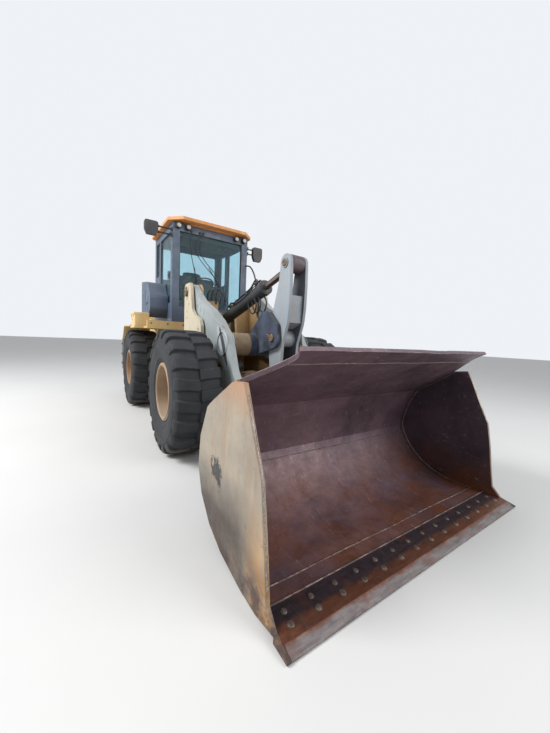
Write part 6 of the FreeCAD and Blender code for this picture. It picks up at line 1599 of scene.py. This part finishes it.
def deck_dressing():
    """Raised tread bars on the platform and fenders, bolts on its beam, step grips."""
    mesh = bmesh.new()
    for low_x, high_x, low_y, high_y in ((-1.98, -0.66, 0.735, 1.085), (-1.98, -0.66, -1.085, -1.01)):
        across = int((high_x - low_x) / 0.05)
        along = max(2, int((high_y - low_y) / 0.05))
        for i in range(across):
            for j in range(along):
                x, y = low_x + 0.05 * (i + 0.5), low_y + (high_y - low_y) * (j + 0.5) / along
                add_tread(mesh, x, y, DECK_TOP, i + j)
    top = node_high("rear_fenders").z
    for side in SIDES:
        for i in range(14):
            for j in range(8):
                add_tread(mesh, -2.28 + 0.055 * i, side * (0.80 + 0.055 * j), top - 0.0005, i + j)
    finished("deck_tread", mesh, FRAME_PAINT, "rear_frame")
    bolts, mesh = bmesh.new(), bmesh.new()
    for index in range(9):
        add_bolt(bolts, (-0.6155, -1.04 + 0.26 * index, 1.60), (1, 0, 0), 0.011, 0.010)
    low, high = node_low("tool_box"), node_high("tool_box")
    add_box(mesh, (low.x - 0.004, low.y - 0.0035, high.z - 0.036), (high.x + 0.004, high.y + 0.002,
                                                                    high.z + 0.004), 0.003)
    for x in (low.x + 0.08, high.x - 0.08):
        add_box(
            mesh, (x - 0.016, low.y - 0.010, high.z - 0.075), (x + 0.016, low.y - 0.001, high.z - 0.015), 0.003)
    add_lathe(mesh, (middle("tool_box").x, low.y, middle("tool_box").z), (0, -1, 0), (
        (0.02, -0.001), (0.02, 0.006), (0.012, 0.008), (0.0, 0.008)), 20)
    finished("tool_box_lid", mesh, FRAME_PAINT, "rear_frame", 40.0)
    for level in range(3):
        for i in range(5):
            for j in range(6):
                add_lathe(bolts, (-1.115 + 0.041 * i, 0.85 + 0.048 * j, 0.55 + 0.33 * level - 0.001), UP, (
                    (0.010, 0.0), (0.008, 0.005), (0.005, 0.005), (0.0, 0.003)), 8)
    finished("deck_bolts", bolts, BOLT_STEEL, "rear_frame")
    mesh = bmesh.new()
    for index in range(10):
        z = 1.85 + 0.032 * index
        add_box(mesh, (-1.74, -1.0035, z), (-1.48, -0.9995, z + 0.014), 0.001)
    add_rounded_loop(mesh, [
        (-1.36, -1.001, 1.84), (-1.12, -1.001, 1.84), (-1.12, -1.001, 2.12), (-1.36, -1.001, 2.22)], 0.005, 6)
    add_box(mesh, (-1.28, -1.012, 1.95), (-1.20, -0.999, 1.99), 0.003)
    finished("side_case_trim", mesh, CAB_PAINT, "rear_frame")


def frame_dressing():
    """Bolts on rails, differential and weight; hoses through the hitch."""
    bolts = bmesh.new()
    for side in SIDES:
        for x in (-2.95, -2.80, -2.45, -1.40, -1.25, -1.10):
            for z in (0.98, 1.12):
                add_bolt(bolts, (x, side * 0.2705, z), (0, side, 0), 0.014, 0.014)
        for z in (0.70, 0.92, 1.16):
            for x in (-3.28, -3.42):
                add_bolt(bolts, (x, side * 1.1595, z), (0, side, 0), 0.022, 0.018)
    finished("frame_bolts_rear", bolts, BOLT_STEEL, "rear_frame")
    bolts = bmesh.new()
    for side in SIDES:
        for place in on_circle(FRONT_AXLE_X, side * 0.10, AXLE_Z, 0.205, 14):
            if abs(place.z - AXLE_Z) > 0.02:
                add_bolt(bolts, place, (0, side, 0), 0.009, 0.05)
    finished("axle_bolts_front", bolts, BOLT_STEEL, "front_frame")
    mesh = bmesh.new()
    for index, (y, z) in enumerate(((-0.09, 0.86), (-0.03, 0.88), (0.03, 0.88), (0.09, 0.86), (0.0, 0.76))):
        sag = 0.06 + 0.012 * index
        add_curve(mesh, [(-0.86, y * 1.5, z), (-0.76, y * 1.5, z - 0.01), (-0.64, y * 1.2, z - sag * 0.7),
                         (-0.495, y, z - sag), (-0.35, y * 1.2, z - sag * 0.7), (-0.24, y * 1.5, z - 0.01),
                         (-0.16, y * 1.5, z)], 6, 0.014, 12)
    hoses = finished("hitch_hoses", mesh, HOSE_RUBBER, None, 60.0)
    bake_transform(hoses)


hood_dressing()
grille_dressing()
tail_lamps()
stacks()
deck_dressing()
frame_dressing()


# Camera at the photograph's angle, floor and light

def camera():
    data = bpy.data.cameras.new("camera")
    data.lens = 14.56
    data.sensor_width = 36.0
    data.clip_end = 200.0
    eye = bpy.data.objects.new("camera", data)
    turn = Matrix((EYE_RIGHT, EYE_UP, -EYE_AHEAD)).transposed().to_4x4()
    eye.matrix_world = Matrix.Translation(EYE) @ turn
    SCENE.collection.objects.link(eye)
    SCENE.camera = eye


def floor():
    mesh = bmesh.new()
    bmesh.ops.create_grid(mesh, x_segments=1, y_segments=1, size=60.0)
    data = bpy.data.meshes.new("floor")
    mesh.to_mesh(data)
    mesh.free()
    look = Look("floor", 0.75)
    look.set("Base Color", look.mix(look.noise(0.8, 5.0), rgb(206, 206, 204), rgb(214, 214, 212)))
    data.materials.append(look.material)
    plane = bpy.data.objects.new("floor", data)
    plane.location.z = -0.001
    SCENE.collection.objects.link(plane)


def soft_lamp(name, place, target, size, power):
    data = bpy.data.lights.new(name, "AREA")
    data.shape = "SQUARE"
    data.size = size
    data.energy = power
    lamp = bpy.data.objects.new(name, data)
    lamp.location = place
    lamp.rotation_mode = "QUATERNION"
    lamp.rotation_quaternion = (Vector(target) - Vector(place)).to_track_quat("-Z", "Y")
    SCENE.collection.objects.link(lamp)


def world():
    """Cool soft light all round; the camera, glass and reflections see a paler sky."""
    made = bpy.data.worlds.new("world")
    made.use_nodes = True
    tree = made.node_tree
    back = tree.nodes["Background"]
    back.inputs["Color"].default_value = (0.93, 0.95, 1.0, 1.0)
    back.inputs["Strength"].default_value = 0.55
    shown = add_node(tree, "ShaderNodeBackground", {"Color": (0.86, 0.89, 0.93, 1.0), "Strength": 1.0})
    rays = tree.nodes.new("ShaderNodeLightPath").outputs
    seen = rays["Is Camera Ray"]
    for kind in ("Is Transmission Ray", "Is Glossy Ray"):
        seen = add_node(tree, "ShaderNodeMath", {0: seen, 1: rays[kind]}, operation="MAXIMUM").outputs[0]
    sky = add_node(tree, "ShaderNodeMixShader", {0: seen, 1: back.outputs[0], 2: shown.outputs[0]})
    tree.links.new(sky.outputs[0], tree.nodes["World Output"].inputs["Surface"])
    SCENE.world = made


camera()
floor()
world()
soft_lamp("key", (-1.0, -9.0, 9.0), (1.0, 0.0, 1.0), 5.0, 1500.0)
soft_lamp("fill", (9.0, 4.0, 6.0), (2.0, 0.0, 1.0), 6.0, 500.0)
SCENE.view_settings.view_transform = "Standard"
